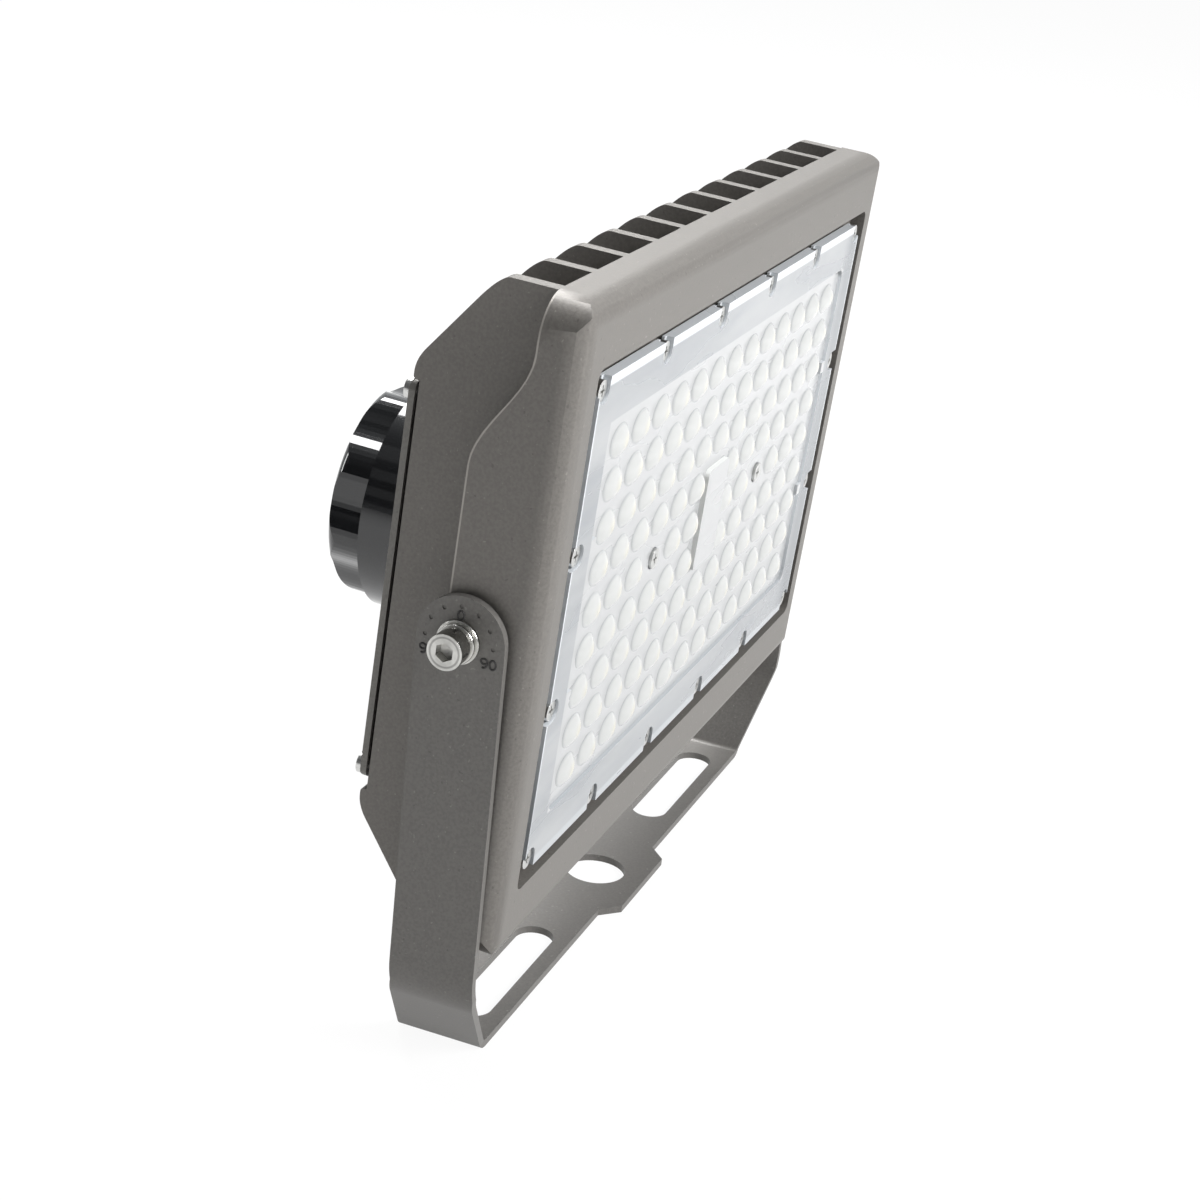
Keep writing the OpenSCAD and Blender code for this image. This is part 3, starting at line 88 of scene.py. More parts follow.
class Wire:
    """An output of a shader node that takes part in Python arithmetic."""

    def __init__(self, graph: "Graph", socket: bpy.types.NodeSocket) -> None:
        """Keeps the graph and the output."""
        self.graph = graph
        self.socket = socket

    def _math(self, operation: str, *values: Value) -> "Wire":
        """Adds a Math node.

        Args:
            operation: the node's operation.
            values: its inputs, in order.

        Returns:
            The node's output.
        """
        return self.graph.node("ShaderNodeMath", dict(enumerate(values)), operation=operation)

    def __add__(self, other: Value) -> "Wire":
        """Sum."""
        return self._math("ADD", self, other)

    def __radd__(self, other: Value) -> "Wire":
        """Sum with a number on the left."""
        return self._math("ADD", other, self)

    def __sub__(self, other: Value) -> "Wire":
        """Difference."""
        return self._math("SUBTRACT", self, other)

    def __rsub__(self, other: Value) -> "Wire":
        """Difference with a number on the left."""
        return self._math("SUBTRACT", other, self)

    def __mul__(self, other: Value) -> "Wire":
        """Product."""
        return self._math("MULTIPLY", self, other)

    def __truediv__(self, other: Value) -> "Wire":
        """Quotient."""
        return self._math("DIVIDE", self, other)

    def __abs__(self) -> "Wire":
        """Value without its sign."""
        return self._math("ABSOLUTE", self)

    def largest(self, other: Value) -> "Wire":
        """The larger of the two."""
        return self._math("MAXIMUM", self, other)

    def nearest(self, step: float) -> "Wire":
        """Distance, with its sign, to the nearest multiple of step."""
        return self - self._math("ROUND", self / step) * step

    def root(self) -> "Wire":
        """Square root."""
        return self._math("SQRT", self)

    def along(self, axis: Sequence[float]) -> "Wire":
        """Length of this vector along a direction.

        Args:
            axis: the direction, of length one.

        Returns:
            The dot product.
        """
        inputs = {0: self, 1: axis}
        return self.graph.node("ShaderNodeVectorMath", inputs, output="Value", operation="DOT_PRODUCT")

    def length(self) -> "Wire":
        """Length of this vector."""
        return self.graph.node("ShaderNodeVectorMath", {0: self}, output="Value", operation="LENGTH")

    def stretched(self, factors: Sequence[float]) -> "Wire":
        """This vector with each part multiplied by its own factor."""
        return self.graph.node("ShaderNodeVectorMath", {0: self, 1: factors}, operation="MULTIPLY")

    def between(self, low: float, high: float) -> "Wire":
        """Smooth step from 0 at low to 1 at high.

        Args:
            low: where the step starts.
            high: where it ends, which may lie below low.

        Returns:
            A value from 0 to 1.
        """
        ends = (0.0, 1.0)
        if low > high:
            low, high, ends = high, low, (1.0, 0.0)
        inputs = {"Value": self, "From Min": low, "From Max": high, "To Min": ends[0], "To Max": ends[1]}
        return self.graph.node("ShaderNodeMapRange", inputs, interpolation_type="SMOOTHSTEP")


class Graph:
    """The node tree of a material or of the world."""

    def __init__(self, tree: bpy.types.NodeTree) -> None:
        """Empties the tree and keeps it."""
        self.tree = tree
        tree.nodes.clear()

    def node(self, kind: str, inputs: Optional[Mapping] = None, output: Union[int, str] = 0,
             **settings) -> Wire:
        """Adds a node.

        Args:
            kind: the node's type.
            inputs: values or links by socket name or number.
            output: the output to return.
            settings: the node's own settings.

        Returns:
            The chosen output.
        """
        made = self.tree.nodes.new(kind)
        for name, value in settings.items():
            setattr(made, name, value)
        for key, value in (inputs or {}).items():
            self.feed(made.inputs[key], value)
        return Wire(self, made.outputs[output])

    def feed(self, socket: bpy.types.NodeSocket, value: Value) -> None:
        """Links a wire to a socket, or sets the socket's own value."""
        if isinstance(value, Wire):
            self.tree.links.new(value.socket, socket)
        elif isinstance(value, (int, float)):
            socket.default_value = value
        else:
            width = len(socket.default_value)
            socket.default_value = (*value, 1)[:width]

    def place(self) -> Wire:
        """Place on the object, in its own axes."""
        return self.node("ShaderNodeTexCoord", output="Object")

    def facing(self) -> Wire:
        """Surface normal in the object's own axes."""
        return self.node("ShaderNodeTexCoord", output="Normal")

    def noise(self, size: float, at: Wire, detail: float = SOFT_DETAIL) -> Wire:
        """Noise from 0 to 1.

        Args:
            size: width of a blotch, in metres.
            at: the place.
            detail: finer layers.

        Returns:
            The noise's value.
        """
        return self.node("ShaderNodeTexNoise", {"Vector": at, "Scale": 1 / size, "Detail": detail})

    def mix(self, share: Value, start: Value, end: Value) -> Wire:
        """Blend of two colours.

        Args:
            share: 0 gives start, 1 gives end.
            start: first colour.
            end: second colour.

        Returns:
            The blended colour.
        """
        return self.node("ShaderNodeMix", {0: share, 6: start, 7: end}, output=2, data_type="RGBA")

    def blend(self, share: Value, start: Wire, end: Wire) -> Wire:
        """Blend of two shaders, from start at 0 to end at 1."""
        return self.node("ShaderNodeMixShader", {0: share, 1: start, 2: end})

    def bump(self, height: Wire, depth: float, smooth: Optional[Wire] = None) -> Wire:
        """Normal of a surface with fine relief.

        Args:
            height: relief from 0 to 1.
            depth: height of the relief, in metres.
            smooth: another normal to build on.

        Returns:
            The normal.
        """
        inputs = {"Height": height, "Distance": depth, "Strength": 1.0}
        if smooth is not None:
            inputs["Normal"] = smooth
        return self.node("ShaderNodeBump", inputs)

    def surface(self, inputs: Mapping) -> None:
        """Ends a material in one Principled shader with these inputs."""
        self.finish("ShaderNodeOutputMaterial", self.node("ShaderNodeBsdfPrincipled", inputs))

    def finish(self, kind: str, shader: Wire) -> None:
        """Links a shader to an output node of this kind."""
        end = self.tree.nodes.new(kind)
        self.tree.links.new(shader.socket, end.inputs["Surface"])


@dataclass(frozen=True)
class HeadAxes:
    """Axes of the tilted head, for finishes and pieces that follow its layout."""

    tilt: float = math.radians(3)
    pivot: Triple = (0.0, -4 * MM, 175 * MM)
    pivot_depth: float = 27.3 * MM

    @property
    def back(self) -> Vector:
        """Direction from the head's front to its back."""
        return Vector((0, math.cos(self.tilt), math.sin(self.tilt)))

    @property
    def up(self) -> Vector:
        """Direction up along the head's front."""
        return Vector((0, -math.sin(self.tilt), math.cos(self.tilt)))

    @property
    def origin(self) -> Vector:
        """Middle of the bezel's front."""
        return Vector(self.pivot) - self.back * self.pivot_depth

    def matrix(self) -> Matrix:
        """Turns the head's own axes into the frame's."""
        return Matrix.Translation(self.origin) @ Matrix.Rotation(self.tilt, 4, "X")

    def across(self, at: Wire) -> Wire:
        """Distance across the head's front, in metres."""
        return at.along(X_AXIS)

    def height(self, at: Wire) -> Wire:
        """Height above the middle of the head's front, in metres."""
        return at.along(tuple(self.up)) - self.up.dot(self.origin)

    def depth(self, at: Wire) -> Wire:
        """Depth behind the head's front, in metres."""
        return at.along(tuple(self.back)) - self.back.dot(self.origin)


@dataclass(frozen=True)
class LensLayout:
    """Sizes of the moulded lens panel that its finish and its lenslets share."""

    pitch_x: float = 21 * MM
    pitch_z: float = 16 * MM
    cols: int = 13
    rows: int = 9
    boss_reach: int = 1
    screw_col: int = 3
    foot_x: float = 8 * MM
    foot_z: float = 6.3 * MM
    dome_h: float = 2.85 * MM
    field_x: float = 142 * MM
    field_y: float = 1.8 * MM
    field_z: float = 75 * MM

    @property
    def ball_r(self) -> float:
        """Radius of the ball that a lenslet is a cap of, before it is stretched across."""
        return (self.foot_z ** 2 + self.dome_h ** 2) / (2 * self.dome_h)

    @property
    def stretch(self) -> float:
        """Width of a lenslet over its height."""
        return self.foot_x / self.foot_z

    def taken(self, col: int, row: int) -> bool:
        """Tells whether the boss or a screw stands in a cell, counted from the middle one."""
        at_boss = col == 0 and abs(row) <= self.boss_reach
        at_screw = abs(col) == self.screw_col and row == 0
        return at_boss or at_screw

    def places(self) -> List[Pair]:
        """Middles of the lenslets, across and up."""
        half_cols, half_rows = self.cols // 2, self.rows // 2
        return [(col * self.pitch_x, row * self.pitch_z)
                for col in range(-half_cols, half_cols + 1)
                for row in range(-half_rows, half_rows + 1) if not self.taken(col, row)]


HEAD = HeadAxes()
LENS = LensLayout()


@dataclass(frozen=True)
class Spots:
    """Flecks, pits or dust: spots of another tone where a noise is high or low."""

    size: float
    span: Span
    tone: float
    share: float
    detail: float = NO_DETAIL


@dataclass(frozen=True)
class Finish:
    """A finish with a colour. Each kind of finish paints its own graph."""

    name: str
    color: Color

    def material(self) -> bpy.types.Material:
        """Makes the material, or returns the one made before."""
        made = bpy.data.materials.get(self.name)
        if made is None:
            made = bpy.data.materials.new(self.name)
            made.use_nodes = True
            self.paint(Graph(made.node_tree))
        return made

    def paint(self, graph: Graph) -> None:
        """Builds the finish's nodes."""
        raise NotImplementedError

    def shade(self, tone: float) -> Color:
        """The colour made lighter or darker, in linear values."""
        return tuple(min(1.0, value * tone) for value in linear(self.color))

    def mottled(self, graph: Graph, share: Wire, tones: Span) -> Wire:
        """The colour drifting from the first tone, at share 0, to the second, at share 1."""
        return graph.mix(share, self.shade(tones[0]), self.shade(tones[1]))

    def spotted(self, graph: Graph, at: Wire, base: Value, spots: Spots) -> Wire:
        """A colour with spots on it.

        Args:
            graph: the finish's nodes.
            at: the place.
            base: the colour under the spots.
            spots: their size, tone and strength.

        Returns:
            The colour.
        """
        mask = graph.noise(spots.size, at, spots.detail).between(*spots.span)
        return graph.mix(mask * spots.share, base, self.shade(spots.tone))


@dataclass(frozen=True)
class PowderCoat(Finish):
    """Fine satin powder coat on metal, with a few tiny flecks and pits."""

    roughness: float = 0.42
    metallic: float = 0.35
    tones: Span = (0.84, 1.16)
    cloud_size: float = 90 * MM
    cloud_share: float = 0.4
    cloud_rough: float = 0.08
    grain_size: float = 1.1 * MM
    grain_span: Span = (0.3, 0.7)
    grain_depth: float = 0.04 * MM
    grain_rough: float = 0.22
    flecks: Spots = Spots(size=1.2 * MM, span=(0.80, 0.84), tone=2.4, share=0.3)
    pits: Spots = Spots(size=1.56 * MM, span=(0.19, 0.15), tone=0.45, share=0.4)

    def paint(self, graph: Graph) -> None:
        """Clouds of colour, flecks, pits and a fine grain."""
        at = graph.place()
        cloud = graph.noise(self.cloud_size, at)
        grain = graph.noise(self.grain_size, at, FINE_DETAIL)
        drift = cloud * self.cloud_share + grain.between(*self.grain_span) * (1 - self.cloud_share)
        base = self.spotted(graph, at, self.mottled(graph, drift, self.tones), self.flecks)
        base = self.spotted(graph, at, base, self.pits)
        grain_rough = (grain - NOISE_MEAN) * self.grain_rough
        graph.surface({
            "Base Color": self.edge_highlight(graph, at, base),
            "Metallic": self.metallic,
            "Roughness": self.roughness + grain_rough + (cloud - NOISE_MEAN) * self.cloud_rough,
            "Normal": graph.bump(grain, self.grain_depth),
        })

    def edge_highlight(self, graph: Graph, at: Wire, base: Wire) -> Wire:
        """The coat's colour with a painted highlight along the piece's own edges, of which a plain sheet
        has none.
        """
        return base


@dataclass(frozen=True)
class CastCoat(PowderCoat):
    """Powder coat of the casting, with a painted highlight along the edge of the pads that the arms swing
    past.
    """

    bezel_d: float = 17 * MM
    pad_d: float = 35 * MM
    pad_wide: float = 60 * MM
    pad_narrow: float = 103 * MM
    # painted highlight: a pale line along the pads' curved edge, where its rounded edge would catch the
    # light
    line_shift: float = 0.3 * MM
    line_span: Span = (0.5 * MM, 0.2 * MM)
    highlight_tone: float = 2.4
    highlight_share: float = 0.8
    side_span: Span = (0.3, 0.6)

    def edge_highlight(self, graph: Graph, at: Wire, base: Wire) -> Wire:
        """The coat's colour with a painted highlight, a pale line along the pads' curved edge."""
        reach = abs(HEAD.height(at)).between(self.pad_narrow, self.pad_wide)
        edge = reach * (self.pad_d - self.bezel_d) + self.bezel_d
        line = abs(HEAD.depth(at) - edge + self.line_shift).between(*self.line_span)
        on_side = abs(graph.facing().along(X_AXIS)).between(*self.side_span)
        # painted highlight mixed in along the pads' curved edge, on faces that look sideways
        return graph.mix(line * on_side * self.highlight_share, base, self.shade(self.highlight_tone))


@dataclass(frozen=True)
class GlossPlastic(Finish):
    """Moulded plastic with a shine and faint waves."""

    roughness: float = 0.07
    tones: Span = (0.85, 1.15)
    cloud_size: float = 30 * MM
    cloud_rough: float = 0.03
    smear_size: float = 4 * MM
    smear_rough: float = 0.02
    wave_size: float = 12 * MM
    wave_depth: float = 0.04 * MM
    coat: float = 0.6
    coat_roughness: float = 0.03

    def paint(self, graph: Graph) -> None:
        """A dark gloss with soft waves."""
        at = graph.place()
        cloud = graph.noise(self.cloud_size, at)
        smear = graph.noise(self.smear_size, at)
        graph.surface({
            "Base Color": self.mottled(graph, cloud, self.tones),
            "Roughness": self.roughness + smear * self.smear_rough + cloud * self.cloud_rough,
            "Coat Weight": self.coat,
            "Coat Roughness": self.coat_roughness,
            "Normal": graph.bump(graph.noise(self.wave_size, at), self.wave_depth),
        })


@dataclass(frozen=True)
class MattePlastic(Finish):
    """Moulded plastic or paint with a fine matt texture."""

    roughness: float = 0.4
    tones: Span = (0.88, 1.12)
    cloud_size: float = 20 * MM
    grain_size: float = 0.7 * MM
    grain_depth: float = 0.04 * MM
    grain_rough: float = 0.25

    def paint(self, graph: Graph) -> None:
        """A matt grain."""
        at = graph.place()
        grain = graph.noise(self.grain_size, at, FINE_DETAIL)
        graph.surface({
            "Base Color": self.mottled(graph, graph.noise(self.cloud_size, at), self.tones),
            "Roughness": self.roughness + (grain - NOISE_MEAN) * self.grain_rough,
            "Normal": graph.bump(grain, self.grain_depth),
        })


@dataclass(frozen=True)
class Rubber(Finish):
    """Soft rubber with dust in its pores."""

    roughness: float = 0.72
    grain_size: float = 0.6 * MM
    grain_depth: float = 0.06 * MM
    grain_rough: float = 0.3
    dust: Spots = Spots(size=4 * MM, span=(0.55, 0.75), tone=2.2, share=0.25, detail=SOFT_DETAIL)

    def paint(self, graph: Graph) -> None:
        """A dull grain with a little dust."""
        at = graph.place()
        grain = graph.noise(self.grain_size, at, FINE_DETAIL)
        graph.surface({
            "Base Color": self.spotted(graph, at, linear(self.color), self.dust),
            "Roughness": self.roughness + (grain - NOISE_MEAN) * self.grain_rough,
            "Normal": graph.bump(grain, self.grain_depth),
        })


@dataclass(frozen=True)
class BrightMetal(Finish):
    """Bare metal with fine turning or brushing marks across X."""

    roughness: float = 0.2
    tones: Span = (0.82, 1.08)
    stretch: Triple = (1.0, 0.12, 0.12)
    mark_size: float = 0.3 * MM
    mark_depth: float = 0.02 * MM
    mark_rough: float = 0.12
    smear_size: float = 3 * MM
    smear_rough: float = 0.08
    pits: Spots = Spots(size=0.9 * MM, span=(0.28, 0.2), tone=0.35, share=0.5)

    def paint(self, graph: Graph) -> None:
        """Fine marks, smears and a few pits."""
        at = graph.place()
        marks = graph.noise(self.mark_size, at.stretched(self.stretch), FINE_DETAIL)
        smear = graph.noise(self.smear_size, at)
        graph.surface({
            "Base Color": self.spotted(graph, at, self.mottled(graph, smear, self.tones), self.pits),
            "Metallic": 1.0,
            "Roughness": self.roughness + marks * self.mark_rough + smear * self.smear_rough,
            "Normal": graph.bump(marks, self.mark_depth),
        })


@dataclass(frozen=True)
class TurnedMetal(Finish):
    """Bare metal turned round the pivots, with painted shade in a groove round the bolt's socket."""

    roughness: float = 0.12
    tones: Span = (0.7, 1.05)
    smear_size: float = 2 * MM
    smear_rough: float = 0.1
    face_span: Span = (0.7, 0.9)
    face_rough: float = 0.14
    ring_step: float = 0.4 * MM
    ring_depth: float = 0.04 * MM
    groove_r: float = 5.3 * MM
    # painted shade: a dark ring on the end face where a groove round the socket would lie in shade
    groove_span: Span = (0.5 * MM, 0.2 * MM)
    groove_shade_tone: float = 0.25
    groove_shade_share: float = 0.6

    def paint(self, graph: Graph) -> None:
        """Fine rings, smears and painted shade in a groove on the end face."""
        at = graph.place()
        out_y = at.along(Y_AXIS) - HEAD.pivot[1]
        out_z = at.along(Z_AXIS) - HEAD.pivot[2]
        away = (out_y * out_y + out_z * out_z).root()
        on_face = abs(graph.facing().along(X_AXIS)).between(*self.face_span)
        rings = abs(away.nearest(self.ring_step)).between(0.0, self.ring_step / 2)
        # painted shade: a dark ring where a groove round the socket would lie in shade
        groove_shade = abs(away - self.groove_r).between(*self.groove_span) * on_face * self.groove_shade_share
        smear = graph.noise(self.smear_size, at)
        base = self.mottled(graph, smear, self.tones)
        graph.surface({
            "Base Color": graph.mix(groove_shade, base, self.shade(self.groove_shade_tone)),
            "Metallic": 1.0,
            "Roughness": self.roughness + on_face * self.face_rough + smear * self.smear_rough,
            "Normal": graph.bump(rings * on_face, self.ring_depth),
        })


@dataclass(frozen=True)
class ClearPlastic(Finish):
    """Clear moulded plastic, of which the lens panel and its lenslets are made."""

    flatness: float = 0.6
    coat: float = 0.5
    coat_roughness: float = 0.05
    wave_size: float = 30 * MM
    wave_depth: float = 0.05 * MM

    def soft_normal(self, graph: Graph, share: Value) -> Wire:
        """The surface's normal, leant towards the panel's front as light inside clear plastic would.

        Args:
            graph: the finish's nodes.
            share: how far it leans, 0 to 1.

        Returns:
            The normal, in world directions.
        """
        inputs = {0: share, 4: graph.facing(), 5: tuple(-HEAD.back)}
        leant = graph.node("ShaderNodeMix", inputs, output=1, data_type="VECTOR")
        return graph.node("ShaderNodeVectorTransform", {0: leant},
                          vector_type="NORMAL", convert_from="OBJECT", convert_to="WORLD")

    def clear_surface(self, graph: Graph, color: Wire, roughness: Wire, lean: Value) -> None:
        """Ends the material as clear plastic with faint waves.

        Args:
            graph: the finish's nodes.
            color: what shows through the plastic.
            roughness: the roughness of its skin.
            lean: how far the normal leans towards the front, 0 to 1.
        """
        wave = graph.noise(self.wave_size, graph.place())
        graph.surface({
            "Base Color": color,
            "Roughness": roughness,
            "IOR": PLASTIC_IOR,
            "Coat Weight": self.coat,
            "Coat Roughness": self.coat_roughness,
            "Normal": graph.bump(wave, self.wave_depth, self.soft_normal(graph, lean)),
        })


@dataclass(frozen=True)
class MouldedLens(ClearPlastic):
    """The panel over the white board: pale field, cooler flange, and edges with a painted highlight that
    painted shade darkens low down.
    """

    flatness: float = 0.7
    roughness: float = 0.22
    flange: Color = (114, 118, 122)
    flange_tone: float = 0.93
    flange_span: Span = (-0.6 * MM, 0.4 * MM)
    haze_size: float = 50 * MM
    haze_stretch: Triple = (0.5, 1.0, 2.4)
    haze_span: Span = (0.25, 0.8)
    haze_share: float = 0.7
    haze_rough: float = 0.12
    streaks: Color = (100, 109, 120)
    streak_size: float = 12 * MM
    streak_stretch: Triple = (0.35, 1.0, 2.2)
    streak_span: Span = (0.45, 0.9)
    streak_share: float = 0.3
    # painted shade: the flange darkens towards its right end, in place of a reflection of dark surroundings
    painted_shade_end: Color = (74, 80, 86)
    painted_shade_span: Span = (135 * MM, 150 * MM)
    painted_shade_share: float = 0.75
    # painted shade in the field's valleys between the lenslets
    valley_shade_span: Span = (0.3, 0.5)
    valley_shade_tone: float = 0.86
    valley_shade_share: float = 0.25
    # painted light on the outer rim and the sideways faces: a bright painted highlight, painted shade low
    # down, and painted light on the boss's shaded sides
    rim: Color = (198, 202, 206)
    rim_highlight_span: Span = (14.2 * MM, 15.2 * MM)
    rim_highlight_share: float = 0.8
    low_rim_shade: Color = (150, 154, 158)
    low_shade_span: Span = (-80 * MM, -30 * MM)
    boss_side_light: Color = (232, 234, 232)
    boss_x_span: Span = (15.4 * MM, 14 * MM)
    boss_z_span: Span = (25.3 * MM, 23 * MM)
    side_span: Span = (0.5, 0.9)
    side_share: float = 0.9

    def paint(self, graph: Graph) -> None:
        """Colours by place on the panel, with painted light and shade."""
        at = graph.place()
        across, height = HEAD.across(at), HEAD.height(at)
        out = (abs(across) - LENS.field_x).largest(abs(height) - LENS.field_z)
        on_flange = out.between(*self.flange_span)
        haze = graph.noise(self.haze_size, at.stretched(self.haze_stretch), FINE_DETAIL)
        face = graph.mix(on_flange, self.field_color(graph, across, height),
                         self.flange_color(graph, at, across, haze))
        side = 1 - abs(graph.facing().along(tuple(HEAD.back))).between(*self.side_span)
        on_rim_highlight = out.between(*self.rim_highlight_span)
        on_side = (side * self.side_share).largest(on_rim_highlight * self.rim_highlight_share)
        # sideways faces and the rim get painted light and shade in place of their own shading
        color = graph.mix(on_side, face, self.painted_side_light(graph, across, height))
        roughness = self.roughness + haze * self.haze_rough
        self.clear_surface(graph, color, roughness, (1 - on_flange) * self.flatness)

    def field_color(self, graph: Graph, across: Wire, height: Wire) -> Wire:
        """Colour of the field, with painted shade in the valleys between the lenslets."""
        cell_x = abs(across.nearest(LENS.pitch_x)) / LENS.pitch_x
        cell_z = abs(height.nearest(LENS.pitch_z)) / LENS.pitch_z
        valley_shade = cell_x.largest(cell_z).between(*self.valley_shade_span)
        # painted shade: the field darkens in the valleys between the lenslets
        return graph.mix(valley_shade * self.valley_shade_share, linear(self.color), self.shade(self.valley_shade_tone))

    def flange_color(self, graph: Graph, at: Wire, across: Wire, haze: Wire) -> Wire:
        """Colour of the flange, hazy and streaked, with painted shade at its right end standing in for the
        dark surroundings it reflects there.
        """
        hazy = haze.between(*self.haze_span) * self.haze_share
        color = graph.mix(hazy, linear(self.flange), self.shade(self.flange_tone))
        streak = graph.noise(self.streak_size, at.stretched(self.streak_stretch))
        streak = streak.between(*self.streak_span) * self.streak_share
        color = graph.mix(streak, color, linear(self.streaks))
        # painted shade towards the flange's right end
        return graph.mix(across.between(*self.painted_shade_span) * self.painted_shade_share, color, linear(self.painted_shade_end))

    def painted_side_light(self, graph: Graph, across: Wire, height: Wire) -> Wire:
        """Painted light on the faces that look sideways: a painted highlight on the rim, painted shade low
        down, and painted light on the boss's sides, which lie in shade.
        """
        on_boss = abs(across).between(*self.boss_x_span) * abs(height).between(*self.boss_z_span)
        rim = graph.mix(height.between(*self.low_shade_span), linear(self.low_rim_shade), linear(self.rim))
        return graph.mix(on_boss, rim, linear(self.boss_side_light))


@dataclass(frozen=True)
class Lenslet(ClearPlastic):
    """A domed lenslet with the yellow of the chip under its top."""

    roughness: float = 0.16
    coat: float = 0.6
    coat_roughness: float = 0.04
    wave_size: float = 4 * MM
    wave_depth: float = 0.04 * MM
    chip: Color = (176, 168, 132)
    chip_x: float = 2 * MM
    chip_squash: float = 0.6
    chip_span: Span = (4.2 * MM, 1.2 * MM)
    chip_share: float = 0.1
    drift_size: float = 80 * MM
    drift_share: float = 0.4
    # painted shade: an olive crescent at each lenslet's right end, tinted by the chip's yellow seen through
    # it
    crescent_shade: Color = (124, 116, 82)
    crescent_x_span: Span = (2.6 * MM, 4.6 * MM)
    crescent_z_span: Span = (5 * MM, 2.2 * MM)
    crescent_drop: float = 0.8 * MM
    crescent_shade_share: float = 0.75
    # painted shade: a cool grey ring at each lenslet's foot
    foot: Color = (126, 130, 133)
    foot_span: Span = (5.5 * MM, 6.3 * MM)
    foot_shade_share: float = 0.45
    foot_rough: float = 0.1

    def paint(self, graph: Graph) -> None:
        """A warm middle where the chip shows through, an olive crescent of painted shade tinted by the
        chip's yellow at the right end, and a ring of painted grey shade at the foot.
        """
        at = graph.place()
        x = HEAD.across(at).nearest(LENS.pitch_x)
        z = HEAD.height(at).nearest(LENS.pitch_z)
        narrow = x / LENS.stretch
        on_foot = (narrow * narrow + z * z).root().between(*self.foot_span)
        aside = x - self.chip_x
        glow = (aside * aside * self.chip_squash + z * z).root().between(*self.chip_span)
        glow = glow * (self.chip_share + graph.noise(self.drift_size, at) * self.drift_share)
        # painted shade: olive crescent at the right end, tinted by the chip's yellow
        olive_shade = narrow.between(*self.crescent_x_span)
        olive_shade = olive_shade * (z + self.crescent_drop).between(*self.crescent_z_span) * (1 - on_foot)
        # painted shade: grey ring at the foot
        color = graph.mix(on_foot * self.foot_shade_share, linear(self.color), linear(self.foot))
        color = graph.mix(glow, color, linear(self.chip))
        color = graph.mix(olive_shade * self.crescent_shade_share, color, linear(self.crescent_shade))
        self.clear_surface(graph, color, self.roughness + on_foot * self.foot_rough, self.flatness)


@dataclass(frozen=True)
class CircuitSheet(Finish):
    """Circuit board lacquer with faint tracks."""

    roughness: float = 0.35
    track: Color = (60, 120, 70)
    lane_x: float = 4 * MM
    lane_z: float = 6 * MM
    lane_span: Span = (0.4 * MM, 0.7 * MM)
    lane_depth: float = 0.03 * MM
    break_size: float = 10 * MM
    break_span: Span = (0.4, 0.5)
    smear_size: float = 2 * MM
    smear_rough: float = 0.15

    def paint(self, graph: Graph) -> None:
        """Tracks as a soft grid broken up by noise."""
        at = graph.place()
        lane = abs(at.along(X_AXIS).nearest(self.lane_x)).between(*self.lane_span)
        lane = lane * abs(at.along(Z_AXIS).nearest(self.lane_z)).between(*self.lane_span)
        broken = graph.noise(self.break_size, at).between(*self.break_span)
        graph.surface({
            "Base Color": graph.mix((1 - lane) * broken, linear(self.color), linear(self.track)),
            "Roughness": self.roughness + graph.noise(self.smear_size, at) * self.smear_rough,
            "Normal": graph.bump(lane, self.lane_depth),
        })


class Paint(Enum):
    """The light's finishes."""

    HOUSING = CastCoat("powder_coat_head", (107, 104, 100), roughness=0.45)
    BRACKET = PowderCoat("powder_coat_bracket", (102, 100, 97), roughness=0.46)
    COVER = PowderCoat("powder_coat_cover", (108, 106, 102), roughness=0.44)
    LENS = MouldedLens("moulded_lens", (156, 157, 158))
    LENSLET = Lenslet("lenslet", (165, 166, 165))
    SEAL = Rubber("seal_rubber", (34, 34, 35))
    PAD = Rubber("thermal_pad_grey", (140, 144, 148))
    STEEL = BrightMetal("screw_steel", (212, 212, 210))
    BOLT = TurnedMetal("bolt_steel", (214, 213, 209))
    SHEET = BrightMetal("driver_sheet", (190, 192, 195), roughness=0.32, stretch=(0.05, 1.0, 1.0))
    BRASS = BrightMetal("contact_brass", (205, 165, 95), roughness=0.22)
    BLACK_GLOSS = GlossPlastic("socket_black", (30, 31, 33))
    CAP_GLOSS = GlossPlastic("cap_black", (26, 27, 29), roughness=0.05)
    BLACK_MATTE = MattePlastic("gland_black", (38, 39, 42), roughness=0.5)
    WHITE_BOARD = CircuitSheet("led_board_white", (232, 234, 230), track=(214, 216, 208))
    GREEN_BOARD = CircuitSheet("driver_board_green", (36, 84, 52))
    CHIP = MattePlastic("chip_yellow", (232, 208, 96), roughness=0.3)
    CREAM = MattePlastic("cream_plastic", (232, 226, 208), roughness=0.45)
    WINDING = MattePlastic("winding_tape", (198, 160, 70))
    BLUE = MattePlastic("surge_blue", (62, 78, 108), roughness=0.45)
    RED_WIRE = MattePlastic("wire_red", (172, 52, 42))
    GREY_WIRE = MattePlastic("wire_grey", (96, 98, 102))
    BROWN_WIRE = MattePlastic("wire_brown", (96, 64, 44))
    GREEN_WIRE = MattePlastic("wire_green", (128, 160, 60))
    WHITE_PLASTIC = MattePlastic("spacer_white", (226, 226, 220))
    MARK = MattePlastic("dial_mark", (44, 43, 42), roughness=0.6)


